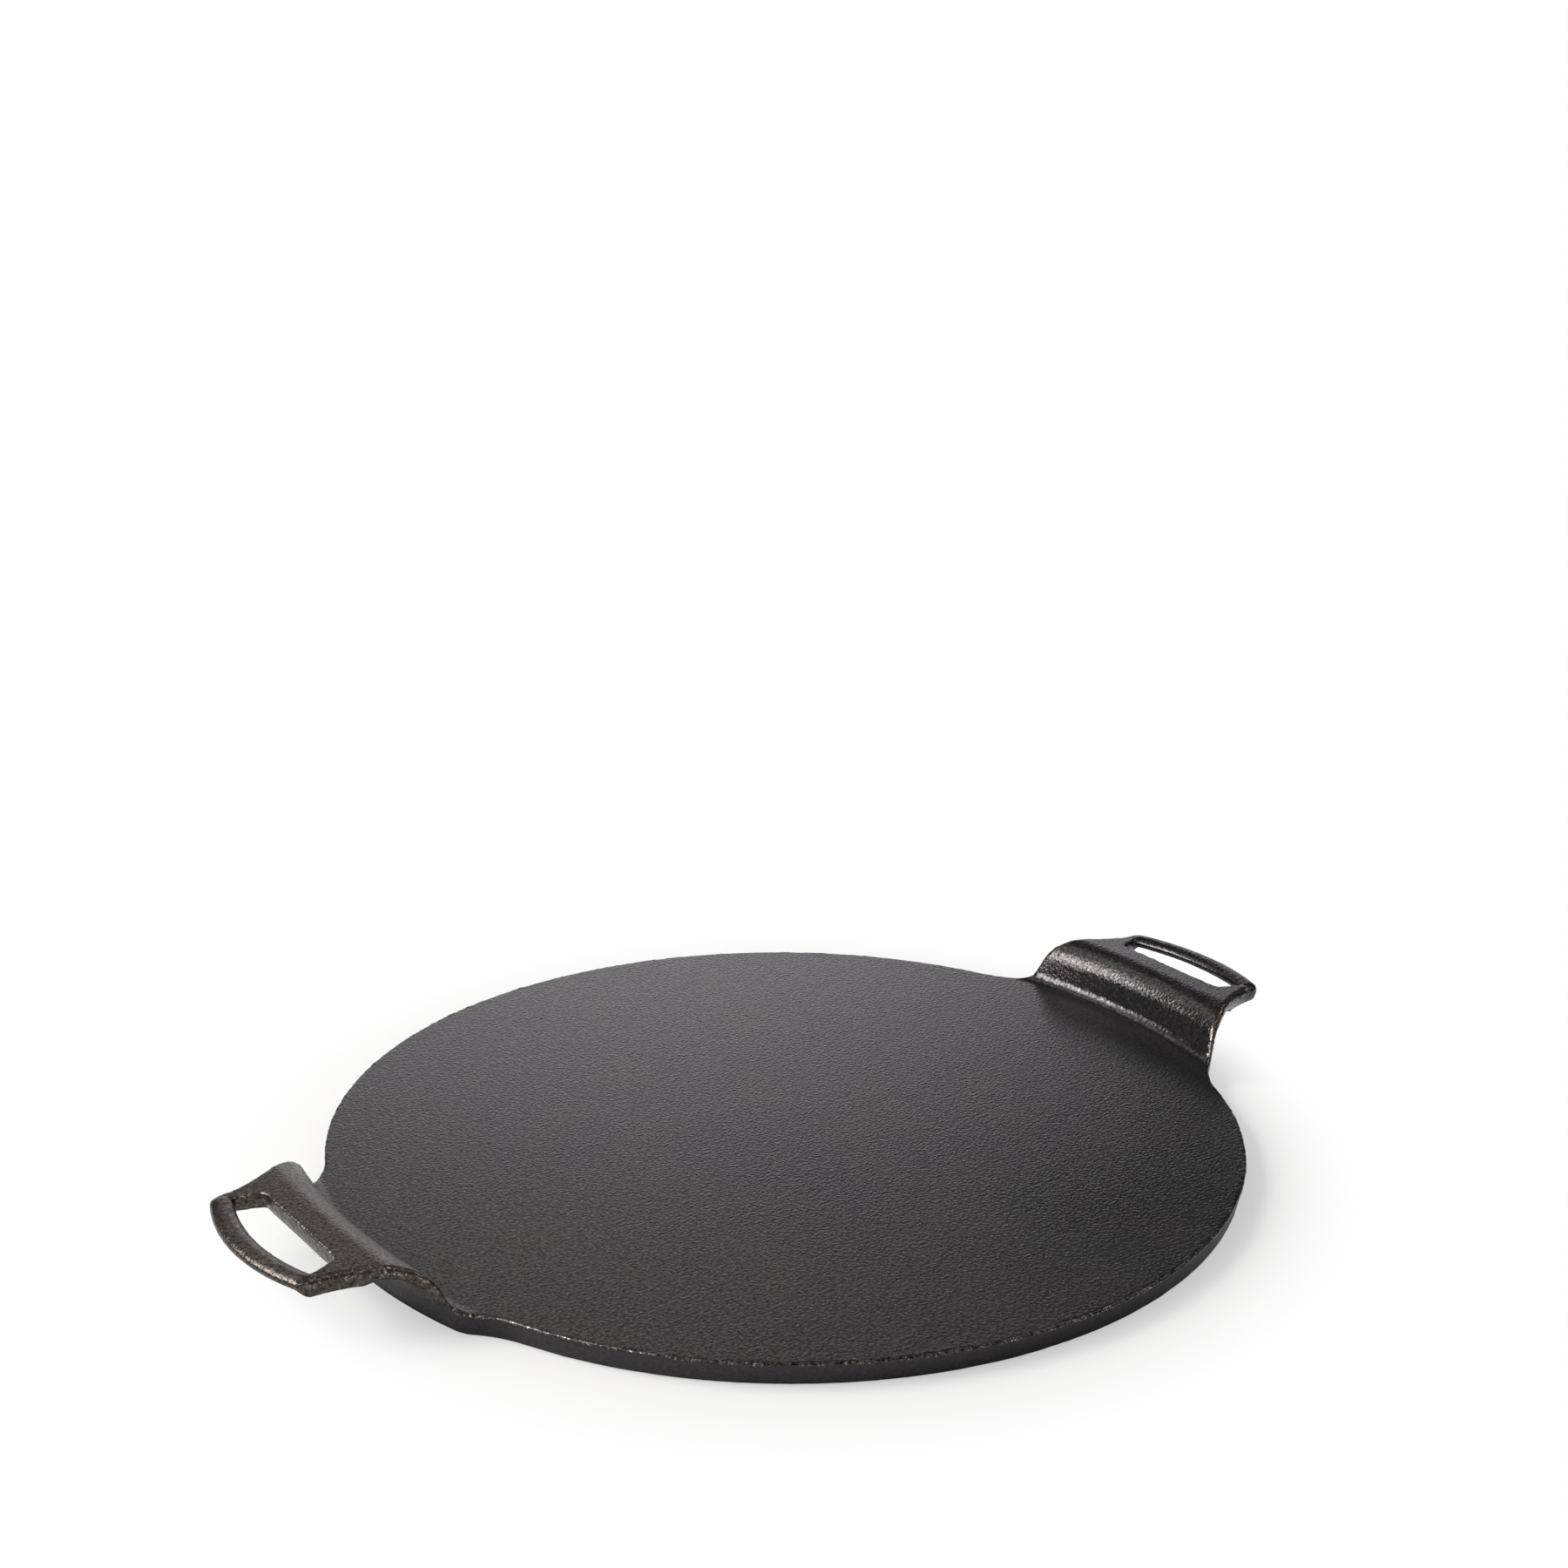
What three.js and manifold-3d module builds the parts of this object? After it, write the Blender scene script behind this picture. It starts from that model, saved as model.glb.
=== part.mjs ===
// A round cast iron pizza pan: a flat baking plate on a foot ring, with a raised loop handle at each end.
// Millimetres, +Z up. The origin is the plate's centre, on the surface that the pan stands on, and the handles
// lie along X.
//
// The real pan is one sand casting. It is built here in the regions that its pattern is made of, which seat
// against each other on flat faces: plate on foot ring, handle neck on the plate's chord, grip on the neck.

import * as THREE from 'three';
import { mergeVertices } from 'three/addons/utils/BufferGeometryUtils.js';
import Module from 'manifold-3d';

// Plate: the turned disc that the pizza lies on.
const RIM_RADIUS = 190.5;          // edge of the baking surface, a 381 mm circle
const BAKING_HEIGHT = 9.6;         // baking surface above the table
const WEB_THICKNESS = 4.7;         // iron under the baking surface, inside the foot ring
const RIM_EDGE_RADIUS = 0.9;       // rounding of the upper rim edge
const RIM_DRAFT = 12.5;            // degrees that the rim leans in towards the table, to leave the sand
const RIM_FOOT_RADIUS = 1.6;       // rounding of the lower rim edge

// Foot ring: the band under the rim.
const FOOT_WIDTH = 13;             // band's width, from the lower rim edge inwards
const FOOT_INNER_DRAFT = 25;       // degrees that the recess wall leans

// Handle plan: where the neck seats, how it narrows and how it blends into the rim.
const NECK_SEAT_DEPTH = 10.5;      // the flat chord where the neck meets plate and foot ring lies this far in
const NECK_HALF_WIDTH = 48;        // half the neck's width at the crest of its ramp
const NECK_TAPER = 27.5;           // degrees that each side narrows outwards
const VALLEY_RADIUS = 48;          // concave blend from the rim into the neck's side
const FLARE_RADIUS = 68;           // concave blend from the side into the grip's corner
const FLARE_START = 22.5;          // from the rim to where the side starts to flare

// Ramp: the neck's upper and lower skins, seen from the side on the handle's centre line.
const RAMP_TOP_START = 1.3;        // from the rim to the foot of the upper skin
const RAMP_TOP_RISE = 20;          // crest above the baking surface
const RAMP_TOP_SLOPE = 72;         // degrees, at its steepest
const RAMP_TOP_FOOT_RADIUS = 4;
const RAMP_TOP_CREST_RADIUS = 13.5;
const HEEL_START = 1.5;            // from the rim to the foot of the lower skin, where it leaves the table
const CREST_THICKNESS = 5.1;       // iron at the crest
const HEEL_SLOPE = 74.7;           // degrees, at its steepest
const HEEL_RADIUS = 7;
const RAMP_UNDER_CREST_RADIUS = 10.4;
const FOOT_LINE_EASE = 24.5;       // added to the rim's radius where the upper skin's foot line bows flatter
const HANDLE_FALL = 2.75;          // degrees that the handle's top falls outwards from the crest
const HANDLE_THICKNESS = 7;        // iron around the hand slot
const FRAME_BLEND_LENGTH = 7;      // run in which the thin ramp thickens to the frame of the slot
const SIDE_TOP_RADIUS = 1.8;       // rounding of the handle's upper side edge
const SIDE_UNDER_RADIUS = 1;       // rounding of its lower side edge
const HANDLE_SIDE_DRAFT = 0.6;     // how far the side falls back from the mould's parting line

// Hand slot: the straight inner edge, the splayed ends and the bowed outer edge.
const SLOT_START = 30;             // from the rim to the straight edge
const SLOT_INNER_HALF_WIDTH = 30.2;
const SLOT_SPLAY = 21.8;           // degrees that each end opens outwards
const SLOT_CORNER_RADIUS = 3;
const SLOT_TIP_RADIUS = 1.2;       // rounding where the ends meet the bowed edge
const SLOT_TOP_RADIUS = 0.8;       // rounding of the slot's upper edge
const SLOT_UNDER_RADIUS = 2;       // rounding of its lower edge, where the fingers pull
const SLOT_DRAFT = 0.3;            // how far the wall falls back from the parting line, above and below

// Grip: the bowed bar between the two ends of the neck.
const HANDLE_REACH = 56.1;         // from the rim to the outermost point of the bar, on the centre line
const ARM_LENGTH = 9;              // from the slot's straight edge to the flat faces where the grip seats
const GRIP_OUTER_BOW_RADIUS = 101;
const GRIP_WIDTH = 9.7;            // across the bar, on the centre line
const GRIP_INNER_BOW_RADIUS = 105;
const GRIP_CORNER_RADIUS = 5;      // rounding of the handle's outer corners
const GRIP_THICKNESS = 5.2;        // the bar's height at its middle
const GRIP_CROWN = 0.5;            // how far the bar's back stands above the arms' upper face
const GRIP_BLEND_LENGTH = 7;       // run from the corner on, in which the arm's section turns into the bar's

// How finely the curves are cut.
const RIM_STEPS = 52;
const VALLEY_STEPS = 5;
const CHORD_STEPS = 14;
const NECK_COLUMNS = 16;
const FILLET_STEPS = 4;
const CREST_STEPS = 8;
const FRAME_STEPS = 4;
const CORNER_STEPS = 4;
const BOW_STEPS = 16;
const LAND_STEPS = 4;
const SIDE_SOLVER_STEPS = 12;

// The bar's section: a power of 2 is an ellipse, a higher one is squarer. Its sides end at the shoulders.
const GRIP_BAR_POWER = 2.3;
const GRIP_SHOULDER = 52;          // degrees above and below the bar's middle

const CUT_OVERRUN = 2;             // how far a cutter passes the iron on every open side

const IRON = { color: 0x3a3a3b, roughness: 0.62, metalness: 0.35 };

const radians = THREE.MathUtils.degToRad;
const lerp = THREE.MathUtils.lerp;

// Places along the handle, from the plate's centre.
const neckSeatX = RIM_RADIUS - NECK_SEAT_DEPTH;
const rampStartX = RIM_RADIUS + RAMP_TOP_START;
const heelStartX = RIM_RADIUS + HEEL_START;
const flareStartX = RIM_RADIUS + FLARE_START;
const slotInnerX = RIM_RADIUS + SLOT_START;
const gripSeatX = slotInnerX + ARM_LENGTH;
const gripOuterX = RIM_RADIUS + HANDLE_REACH;
const gripInnerX = gripOuterX - GRIP_WIDTH;
const footLineRadius = RIM_RADIUS + FOOT_LINE_EASE;

// Plan of the pan, for the quarter at +X +Y. An inset moves each line into the iron by that distance.

// The straight side of the neck, through its crest, as a point with its direction and its outward normal.
const crestX = rampPath(rampStartX, BAKING_HEIGHT, BAKING_HEIGHT + RAMP_TOP_RISE, RAMP_TOP_SLOPE,
  RAMP_TOP_FOOT_RADIUS, RAMP_TOP_CREST_RADIUS).crest.x;
const sideDirection = new THREE.Vector2(Math.cos(radians(NECK_TAPER)), -Math.sin(radians(NECK_TAPER)));
const sideNormal = new THREE.Vector2(-sideDirection.y, sideDirection.x);
const sideAt = (x) => new THREE.Vector2(
  x, NECK_HALF_WIDTH + (x - crestX) * sideDirection.y / sideDirection.x);

// The valley's centre lies one valley radius off the side line and off the rim.
function valleyCentreOf() {
  const offset = sideAt(crestX).addScaledVector(sideNormal, VALLEY_RADIUS);
  const along = offset.dot(sideDirection);
  const reach = RIM_RADIUS + VALLEY_RADIUS;
  const back = along - Math.sqrt(along * along - offset.lengthSq() + reach * reach);
  return offset.addScaledVector(sideDirection, -back);
}
const valleyCentre = valleyCentreOf();
const flareCentre = sideAt(flareStartX).addScaledVector(sideNormal, FLARE_RADIUS);

// Half the handle's width at x: the valley's arc, the straight side, then the flare's arc.
function halfWidth(x, inset = 0) {
  const arc = (centre, radius) => centre.y - Math.sqrt((radius + inset) ** 2 - (x - centre.x) ** 2);
  if (x < valleyCentre.x - (VALLEY_RADIUS + inset) * sideNormal.x) return arc(valleyCentre, VALLEY_RADIUS);
  if (x < flareCentre.x - (FLARE_RADIUS + inset) * sideNormal.x) return sideAt(x).y - inset / sideNormal.y;
  return arc(flareCentre, FLARE_RADIUS);
}

// The plate's whole outline, counter-clockwise from the +X chord: two rims, four valleys and two chords.
function plateOutline(inset) {
  const tangentAngle = valleyCentre.angle();
  const radius = RIM_RADIUS - inset;
  const tangentX = radius * Math.cos(tangentAngle);
  const chordHalf = halfWidth(neckSeatX, inset);
  const half = [];
  for (let i = 0; i < CHORD_STEPS; i++) {
    half.push(new THREE.Vector2(neckSeatX, lerp(-chordHalf, chordHalf, i / CHORD_STEPS)));
  }
  for (let i = 0; i < VALLEY_STEPS; i++) {
    const x = lerp(neckSeatX, tangentX, i / VALLEY_STEPS);
    half.push(new THREE.Vector2(x, halfWidth(x, inset)));
  }
  for (let i = 0; i < RIM_STEPS; i++) {
    const angle = lerp(tangentAngle, Math.PI - tangentAngle, i / RIM_STEPS);
    half.push(new THREE.Vector2(radius * Math.cos(angle), radius * Math.sin(angle)));
  }
  for (let i = VALLEY_STEPS; i > 0; i--) {
    const x = lerp(neckSeatX, tangentX, i / VALLEY_STEPS);
    half.push(new THREE.Vector2(-x, halfWidth(x, inset)));
  }
  return [...half, ...half.map((p) => new THREE.Vector2(-p.x, -p.y))];
}

// Sections of the edges, as [depth below the upper surface, inset] from top to bottom.

// The rim's edge: rounded at the top, drafted, rounded at the table.
function rimEdge() {
  const roundShare = 1 - Math.SQRT1_2;
  const draft = Math.tan(radians(RIM_DRAFT));
  const wallTop = RIM_EDGE_RADIUS;
  const wallEnd = BAKING_HEIGHT - RIM_FOOT_RADIUS;
  const wallInset = (depth) => (depth - wallTop) * draft;
  return [
    [0, RIM_EDGE_RADIUS],
    [RIM_EDGE_RADIUS * roundShare, RIM_EDGE_RADIUS * roundShare],
    [wallTop, 0],
    [WEB_THICKNESS, wallInset(WEB_THICKNESS)],
    [wallEnd, wallInset(wallEnd)],
    [BAKING_HEIGHT - RIM_FOOT_RADIUS * roundShare, wallInset(wallEnd) + RIM_FOOT_RADIUS * roundShare],
    [BAKING_HEIGHT, wallInset(wallEnd) + RIM_FOOT_RADIUS],
  ];
}

// A cast edge: rounded above and below, with a wall that stands proudest at the parting line, halfway down.
function castEdge(thickness, topRadius, underRadius, draft) {
  const roundShare = 1 - Math.SQRT1_2;
  const rounding = (radius) => {
    const wall = draft * (1 - 2 * radius / thickness);
    return [[0, wall + radius], [radius * roundShare, wall + radius * roundShare], [radius, wall]];
  };
  const under = rounding(underRadius).reverse().map(([depth, inset]) => [thickness - depth, inset]);
  return [...rounding(topRadius), [thickness / 2, 0], ...under];
}
const sideEdge = (thickness) => castEdge(thickness, SIDE_TOP_RADIUS, SIDE_UNDER_RADIUS, HANDLE_SIDE_DRAFT);
const slotEdge = castEdge(HANDLE_THICKNESS, SLOT_TOP_RADIUS, SLOT_UNDER_RADIUS, SLOT_DRAFT);

// A ramp seen from the side: flat, a foot fillet, a straight slope and a crest fillet that ends level.
function rampPath(startX, base, crest, slopeDegrees, footRadius, crestRadius) {
  const slope = radians(slopeDegrees);
  const drop = 1 - Math.cos(slope);
  const straight = (crest - base - (footRadius + crestRadius) * drop) / Math.sin(slope);
  const crestPoint = new THREE.Vector2(
    startX + (footRadius + crestRadius) * Math.sin(slope) + straight * Math.cos(slope), crest);
  const points = [];
  for (let i = 0; i <= FILLET_STEPS; i++) {
    const turn = slope * i / FILLET_STEPS;
    points.push(new THREE.Vector2(
      startX + footRadius * Math.sin(turn), base + footRadius * (1 - Math.cos(turn))));
  }
  for (let i = 0; i <= CREST_STEPS; i++) {
    const turn = slope * (1 - i / CREST_STEPS);
    points.push(new THREE.Vector2(
      crestPoint.x - crestRadius * Math.sin(turn), crest - crestRadius * (1 - Math.cos(turn))));
  }
  return { points, crest: crestPoint };
}

// The handle's top beyond the crest falls gently outwards.
const handleTop = (x) =>
  BAKING_HEIGHT + RAMP_TOP_RISE - Math.max(x - crestX, 0) * Math.tan(radians(HANDLE_FALL));

// The neck's upper and lower skins on the centre line, with as many points each, so that they pair into
// sections.
function neckSkins() {
  const crestHeight = BAKING_HEIGHT + RAMP_TOP_RISE;
  const upperRamp = rampPath(rampStartX, BAKING_HEIGHT, crestHeight, RAMP_TOP_SLOPE,
    RAMP_TOP_FOOT_RADIUS, RAMP_TOP_CREST_RADIUS);
  const lowerRamp = rampPath(heelStartX, 0, crestHeight - CREST_THICKNESS, HEEL_SLOPE,
    HEEL_RADIUS, RAMP_UNDER_CREST_RADIUS);
  const upper = [new THREE.Vector2(neckSeatX, BAKING_HEIGHT), ...upperRamp.points];
  const lower = [new THREE.Vector2(neckSeatX, 0), ...lowerRamp.points];
  const blendStart = Math.max(lowerRamp.crest.x, crestX);
  for (let i = 1; i <= FRAME_STEPS; i++) {
    const share = i / FRAME_STEPS;
    const x = blendStart + FRAME_BLEND_LENGTH * share;
    const thickness = lerp(CREST_THICKNESS, HANDLE_THICKNESS, (1 - Math.cos(Math.PI * share)) / 2);
    upper.push(new THREE.Vector2(x, handleTop(x)));
    lower.push(new THREE.Vector2(x, handleTop(x) - thickness));
  }
  for (const x of [slotInnerX, gripSeatX]) {
    upper.push(new THREE.Vector2(x, handleTop(x)));
    lower.push(new THREE.Vector2(x, handleTop(x) - HANDLE_THICKNESS));
  }
  return { upper, lower };
}

// How strongly a line across the neck bows around the plate, as a curvature: none at the seat, all of it
// from the foot line to where it starts to fade, and none at the slot.
function bowAt(x, footX, fadeX, radius) {
  const rising = (x - neckSeatX) / (footX - neckSeatX);
  const falling = (slotInnerX - x) / (slotInnerX - fadeX);
  return THREE.MathUtils.clamp(Math.min(rising, falling), 0, 1) / radius;
}
const upperBowAt = (x) => bowAt(x, rampStartX, rampStartX, footLineRadius);
const heelEndX = heelStartX + HEEL_RADIUS * Math.sin(radians(HEEL_SLOPE));
const lowerBowAt = (x) => bowAt(x, heelStartX, heelEndX, heelStartX);

// The point across the neck at a share of its half width, -1 to 1, on a bowed line that crosses the centre
// line at x.
function acrossNeck(x, bow, share, inset) {
  let side = halfWidth(x, inset);
  for (let i = 0; i < SIDE_SOLVER_STEPS; i++) side = halfWidth(x - bow / 2 * side * side, inset);
  const y = side * share;
  return new THREE.Vector2(x - bow / 2 * y * y, y);
}

// Meshes.

// A closed surface from rows of points, each row a closed ring. Capped, its first and last rows are filled
// from their middles; not capped, the last row joins back to the first.
function skin(rows, capped) {
  const count = rows[0].length;
  const points = rows.flat();
  const index = [];
  const bands = capped ? rows.length - 1 : rows.length;
  for (let r = 0; r < bands; r++) {
    const a = r * count;
    const b = ((r + 1) % rows.length) * count;
    for (let i = 0; i < count; i++) {
      const j = (i + 1) % count;
      index.push(a + i, a + j, b + i, a + j, b + j, b + i);
    }
  }
  const cap = (row, start, facesBack) => {
    const middle = row.reduce((sum, p) => sum.add(p), new THREE.Vector3()).divideScalar(count);
    const hub = points.push(middle) - 1;
    for (let i = 0; i < count; i++) {
      const [p, q] = [start + i, start + (i + 1) % count];
      index.push(hub, ...(facesBack ? [q, p] : [p, q]));
    }
  };
  if (capped) {
    cap(rows[0], 0, true);
    cap(rows.at(-1), (rows.length - 1) * count, false);
  }
  const geometry = new THREE.BufferGeometry().setFromPoints(points);
  geometry.setIndex(index);
  return geometry;
}

const wasm = await Module();
wasm.setup();

function toSolid(geometry) {
  const bare = mergeVertices(new THREE.BufferGeometry()
    .setAttribute('position', geometry.getAttribute('position').clone())
    .setIndex(geometry.index?.clone() ?? null));
  return new wasm.Manifold(new wasm.Mesh({
    numProp: 3,
    vertProperties: new Float32Array(bare.getAttribute('position').array),
    triVerts: new Uint32Array(bare.index.array),
  }));
}

function toGeometry(solid) {
  const mesh = solid.getMesh();
  const geometry = new THREE.BufferGeometry();
  geometry.setAttribute('position', new THREE.BufferAttribute(mesh.vertProperties, 3));
  geometry.setIndex(new THREE.BufferAttribute(mesh.triVerts, 1));
  return geometry;
}

// Parts.

// The disc: the rim's edge down to the web's underside.
function bakingPlate() {
  const upper = rimEdge().filter(([depth]) => depth <= WEB_THICKNESS);
  const rows = upper.map(([depth, inset]) =>
    plateOutline(inset).map((p) => new THREE.Vector3(p.x, p.y, BAKING_HEIGHT - depth)));
  return skin(rows.reverse(), true);
}

// The ring: the rest of the rim's edge outside, a drafted wall around the recess inside.
function footRing() {
  const outer = rimEdge().filter(([depth]) => depth >= WEB_THICKNESS);
  const outline = plateOutline(0);
  const rows = outer.map(([depth, inset]) =>
    plateOutline(inset).map((p) => new THREE.Vector3(p.x, p.y, BAKING_HEIGHT - depth)));
  const footInner = RIM_RADIUS - outer.at(-1)[1] - FOOT_WIDTH;
  const height = BAKING_HEIGHT - WEB_THICKNESS;
  const circle = (radius, z) => outline.map((p) => {
    const onCircle = p.clone().setLength(radius);
    return new THREE.Vector3(onCircle.x, onCircle.y, z);
  });
  rows.push(circle(footInner, 0), circle(footInner - height * Math.tan(radians(FOOT_INNER_DRAFT)), height));
  return skin(rows.reverse(), false);
}

// The neck, at +X: sections across the handle, from its seat on the plate to the grip's seat, then the slot.
function handleNeck() {
  const { upper, lower } = neckSkins();
  const rampEnd = 1 + FILLET_STEPS + 1;
  const rows = upper.map((top, station) => {
    const bottom = lower[station];
    const height = top.distanceTo(bottom);
    const handleShare = THREE.MathUtils.clamp((station - 1) / (rampEnd - 1), 0, 1);
    const rim = rimEdge();
    const handle = sideEdge(height);
    const edge = rim.map(([depth, inset], i) => [
      lerp(depth / BAKING_HEIGHT, handle[i][0] / height, handleShare),
      lerp(inset, handle[i][1], handleShare),
    ]);
    const place = (depthShare, share, inset) => {
      const x = lerp(top.x, bottom.x, depthShare);
      const bow = lerp(upperBowAt(top.x), lowerBowAt(bottom.x), depthShare);
      const plan = acrossNeck(x, bow, share, inset);
      return new THREE.Vector3(plan.x, plan.y, lerp(top.y, bottom.y, depthShare));
    };
    const ring = [];
    for (let i = 1; i < NECK_COLUMNS; i++) ring.push(place(0, 1 - 2 * i / NECK_COLUMNS, edge[0][1]));
    for (const [depthShare, inset] of edge) ring.push(place(depthShare, -1, inset));
    for (let i = 1; i < NECK_COLUMNS; i++) ring.push(place(1, 2 * i / NECK_COLUMNS - 1, edge.at(-1)[1]));
    for (const [depthShare, inset] of edge.toReversed()) ring.push(place(depthShare, 1, inset));
    return ring;
  });
  return toGeometry(toSolid(skin(rows, true)).subtract(toSolid(slotCutter())));
}

// The slot's half width at x, on the splayed end. A relief moves the wall into the iron by that distance.
function slotHalfWidth(x, relief = 0) {
  const splay = radians(SLOT_SPLAY);
  return SLOT_INNER_HALF_WIDTH + (x - slotInnerX) * Math.tan(splay) + relief / Math.cos(splay);
}

// The slot's inner part, open towards the grip, with its upper and lower edges rounded. Past the iron the
// cutter goes on along its outermost facets, so that it has no corner on a face.
function slotCutter() {
  const splay = radians(SLOT_SPLAY);
  const cornerX = slotInnerX + SLOT_CORNER_RADIUS;
  const corner = new THREE.Vector2(cornerX, slotHalfWidth(cornerX, -SLOT_CORNER_RADIUS));
  const openX = gripSeatX + CUT_OVERRUN;
  const outline = (relief) => {
    const radius = SLOT_CORNER_RADIUS + relief;
    const shape = [new THREE.Vector2(openX, slotHalfWidth(openX, relief))];
    for (let i = 0; i <= CORNER_STEPS; i++) {
      const angle = lerp(Math.PI / 2 + splay, Math.PI, i / CORNER_STEPS);
      shape.push(new THREE.Vector2(corner.x + radius * Math.cos(angle), corner.y + radius * Math.sin(angle)));
    }
    return [...shape, ...shape.toReversed().map((p) => new THREE.Vector2(p.x, -p.y))];
  };
  const past = ([depth, relief], [nextDepth, nextRelief]) => {
    const share = CUT_OVERRUN / Math.abs(nextDepth - depth);
    return [lerp(depth, nextDepth, -share), lerp(relief, nextRelief, -share)];
  };
  const inside = slotEdge.slice(1, -1);
  const edge = [past(slotEdge[0], slotEdge[1]), ...inside, past(slotEdge.at(-1), slotEdge.at(-2))];
  return skin(edge.toReversed().map(([depth, relief]) =>
    outline(relief).map((p) => new THREE.Vector3(p.x, p.y, handleTop(p.x) - depth))), true);
}

// Half of a line that leaves the seat, turns a rounded corner and follows a bow to the centre line, from +Y.
function bracket(start, slopeDegrees, cornerRadius, bowX, bowRadius) {
  const direction = new THREE.Vector2(Math.cos(radians(slopeDegrees)), Math.sin(radians(slopeDegrees)));
  const normal = new THREE.Vector2(-direction.y, direction.x);
  const bowCentre = new THREE.Vector2(bowX - bowRadius, 0);
  const offset = start.clone().addScaledVector(normal, -cornerRadius).sub(bowCentre);
  const along = offset.dot(direction);
  const reach = bowRadius - cornerRadius;
  const forward = -along + Math.sqrt(along * along - offset.lengthSq() + reach * reach);
  const centre = offset.addScaledVector(direction, forward).add(bowCentre);
  const bowAngle = centre.clone().sub(bowCentre).angle();
  const cornerStart = centre.clone().addScaledVector(normal, cornerRadius);
  const points = [start.clone(), start.clone().lerp(cornerStart, 1 / 2)];
  for (let i = 0; i <= CORNER_STEPS; i++) {
    const angle = lerp(normal.angle(), bowAngle, i / CORNER_STEPS);
    points.push(new THREE.Vector2(
      centre.x + cornerRadius * Math.cos(angle), centre.y + cornerRadius * Math.sin(angle)));
  }
  for (let i = 1; i <= BOW_STEPS / 2; i++) {
    const angle = bowAngle * (1 - 2 * i / BOW_STEPS);
    points.push(new THREE.Vector2(
      bowCentre.x + bowRadius * Math.cos(angle), bowRadius * Math.sin(angle)));
  }
  return points;
}

// The arm's end, where the grip seats, as points of half width and depth: up the outer side, over the top,
// down the slot's wall and back along the underside.
function seatSection() {
  const side = (edge, width) => edge.map(
    ([depth, inset]) => new THREE.Vector2(width(gripSeatX, inset), depth));
  const outer = side(sideEdge(HANDLE_THICKNESS), halfWidth);
  const wall = side(slotEdge, slotHalfWidth);
  const land = (from, to) => Array.from(
    { length: LAND_STEPS - 1 }, (_, i) => from.clone().lerp(to, (i + 1) / LAND_STEPS));
  return [...outer.toReversed(), ...land(outer[0], wall[0]), ...wall, ...land(wall.at(-1), outer.at(-1))];
}

// The bar's rounded section, point for point with the arm's end, as shares of its half width and half height.
function barSection() {
  const shoulder = radians(GRIP_SHOULDER);
  const turns = (from, to, count, skipped) =>
    Array.from({ length: count }, (_, i) => lerp(from, to, (i + skipped) / (count - 1 + 2 * skipped)));
  const angles = [
    ...turns(-shoulder, shoulder, slotEdge.length, 0),
    ...turns(shoulder, Math.PI - shoulder, LAND_STEPS - 1, 1),
    ...turns(Math.PI - shoulder, Math.PI + shoulder, slotEdge.length, 0),
    ...turns(Math.PI + shoulder, 2 * Math.PI - shoulder, LAND_STEPS - 1, 1),
  ];
  const rounded = (value) => Math.sign(value) * Math.abs(value) ** (2 / GRIP_BAR_POWER);
  return angles.map((angle) => new THREE.Vector2(rounded(Math.cos(angle)), rounded(Math.sin(angle))));
}

// The grip, at +X: a bar lofted between its inner and outer lines. Its end goes on in the flare's direction.
function handleGrip() {
  const flare = Math.asin((gripInnerX - flareCentre.x) / FLARE_RADIUS);
  const outer = bracket(new THREE.Vector2(gripSeatX, halfWidth(gripSeatX)), THREE.MathUtils.radToDeg(flare),
    GRIP_CORNER_RADIUS, gripOuterX, GRIP_OUTER_BOW_RADIUS);
  const inner = bracket(new THREE.Vector2(gripSeatX, slotHalfWidth(gripSeatX)), SLOT_SPLAY,
    SLOT_TIP_RADIUS, gripInnerX, GRIP_INNER_BOW_RADIUS);
  const seatWidth = outer[0].y - inner[0].y;
  const seat = seatSection().map((p) => new THREE.Vector2(2 * (p.x - inner[0].y) / seatWidth - 1, p.y));
  const bar = barSection();
  const barDepth = GRIP_THICKNESS / 2 - GRIP_CROWN;
  const cornerStart = outer.length - BOW_STEPS / 2 - CORNER_STEPS - 1;
  const stations = outer.map((out, i) => {
    const past = i < cornerStart ? 0 : out.distanceTo(outer[cornerStart]);
    return { out, into: inner[i], share: THREE.MathUtils.smoothstep(past, 0, GRIP_BLEND_LENGTH) };
  });
  const mirrored = stations.slice(0, -1).reverse().map(({ out, into, share }) => (
    { out: new THREE.Vector2(out.x, -out.y), into: new THREE.Vector2(into.x, -into.y), share }));
  const rows = [...stations, ...mirrored].map(({ out, into, share }) => {
    const middle = into.clone().lerp(out, 1 / 2);
    const reach = out.clone().sub(middle);
    return seat.map((arm, i) => {
      const across = lerp(arm.x, bar[i].x, share);
      const depth = lerp(arm.y, barDepth - bar[i].y * GRIP_THICKNESS / 2, share);
      const plan = middle.clone().addScaledVector(reach, across);
      return new THREE.Vector3(plan.x, plan.y, handleTop(middle.x) - depth);
    });
  });
  return skin(rows, true);
}

// Assembly: each handle is made once at +X, and the left one is turned half a turn.
const pan = new THREE.Group();

function addPart(group, name, geometry) {
  const mesh = new THREE.Mesh(geometry, new THREE.MeshStandardMaterial(IRON));
  mesh.name = name;
  group.add(mesh);
}

addPart(pan, 'baking_plate', bakingPlate());
addPart(pan, 'foot_ring', footRing());

for (const [side, turn] of [['right', 0], ['left', Math.PI]]) {
  const handle = new THREE.Group();
  handle.rotation.z = turn;
  addPart(handle, `${side}_handle_neck`, handleNeck());
  addPart(handle, `${side}_handle_grip`, handleGrip());
  pan.add(handle);
}

export default pan;
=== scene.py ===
"""The looks of a cast iron pizza pan: a rough sand casting, its seasoned skin and a white studio."""

import logging
import math
from collections.abc import Callable, Iterable, Sequence
from dataclasses import dataclass
from enum import Enum

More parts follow.
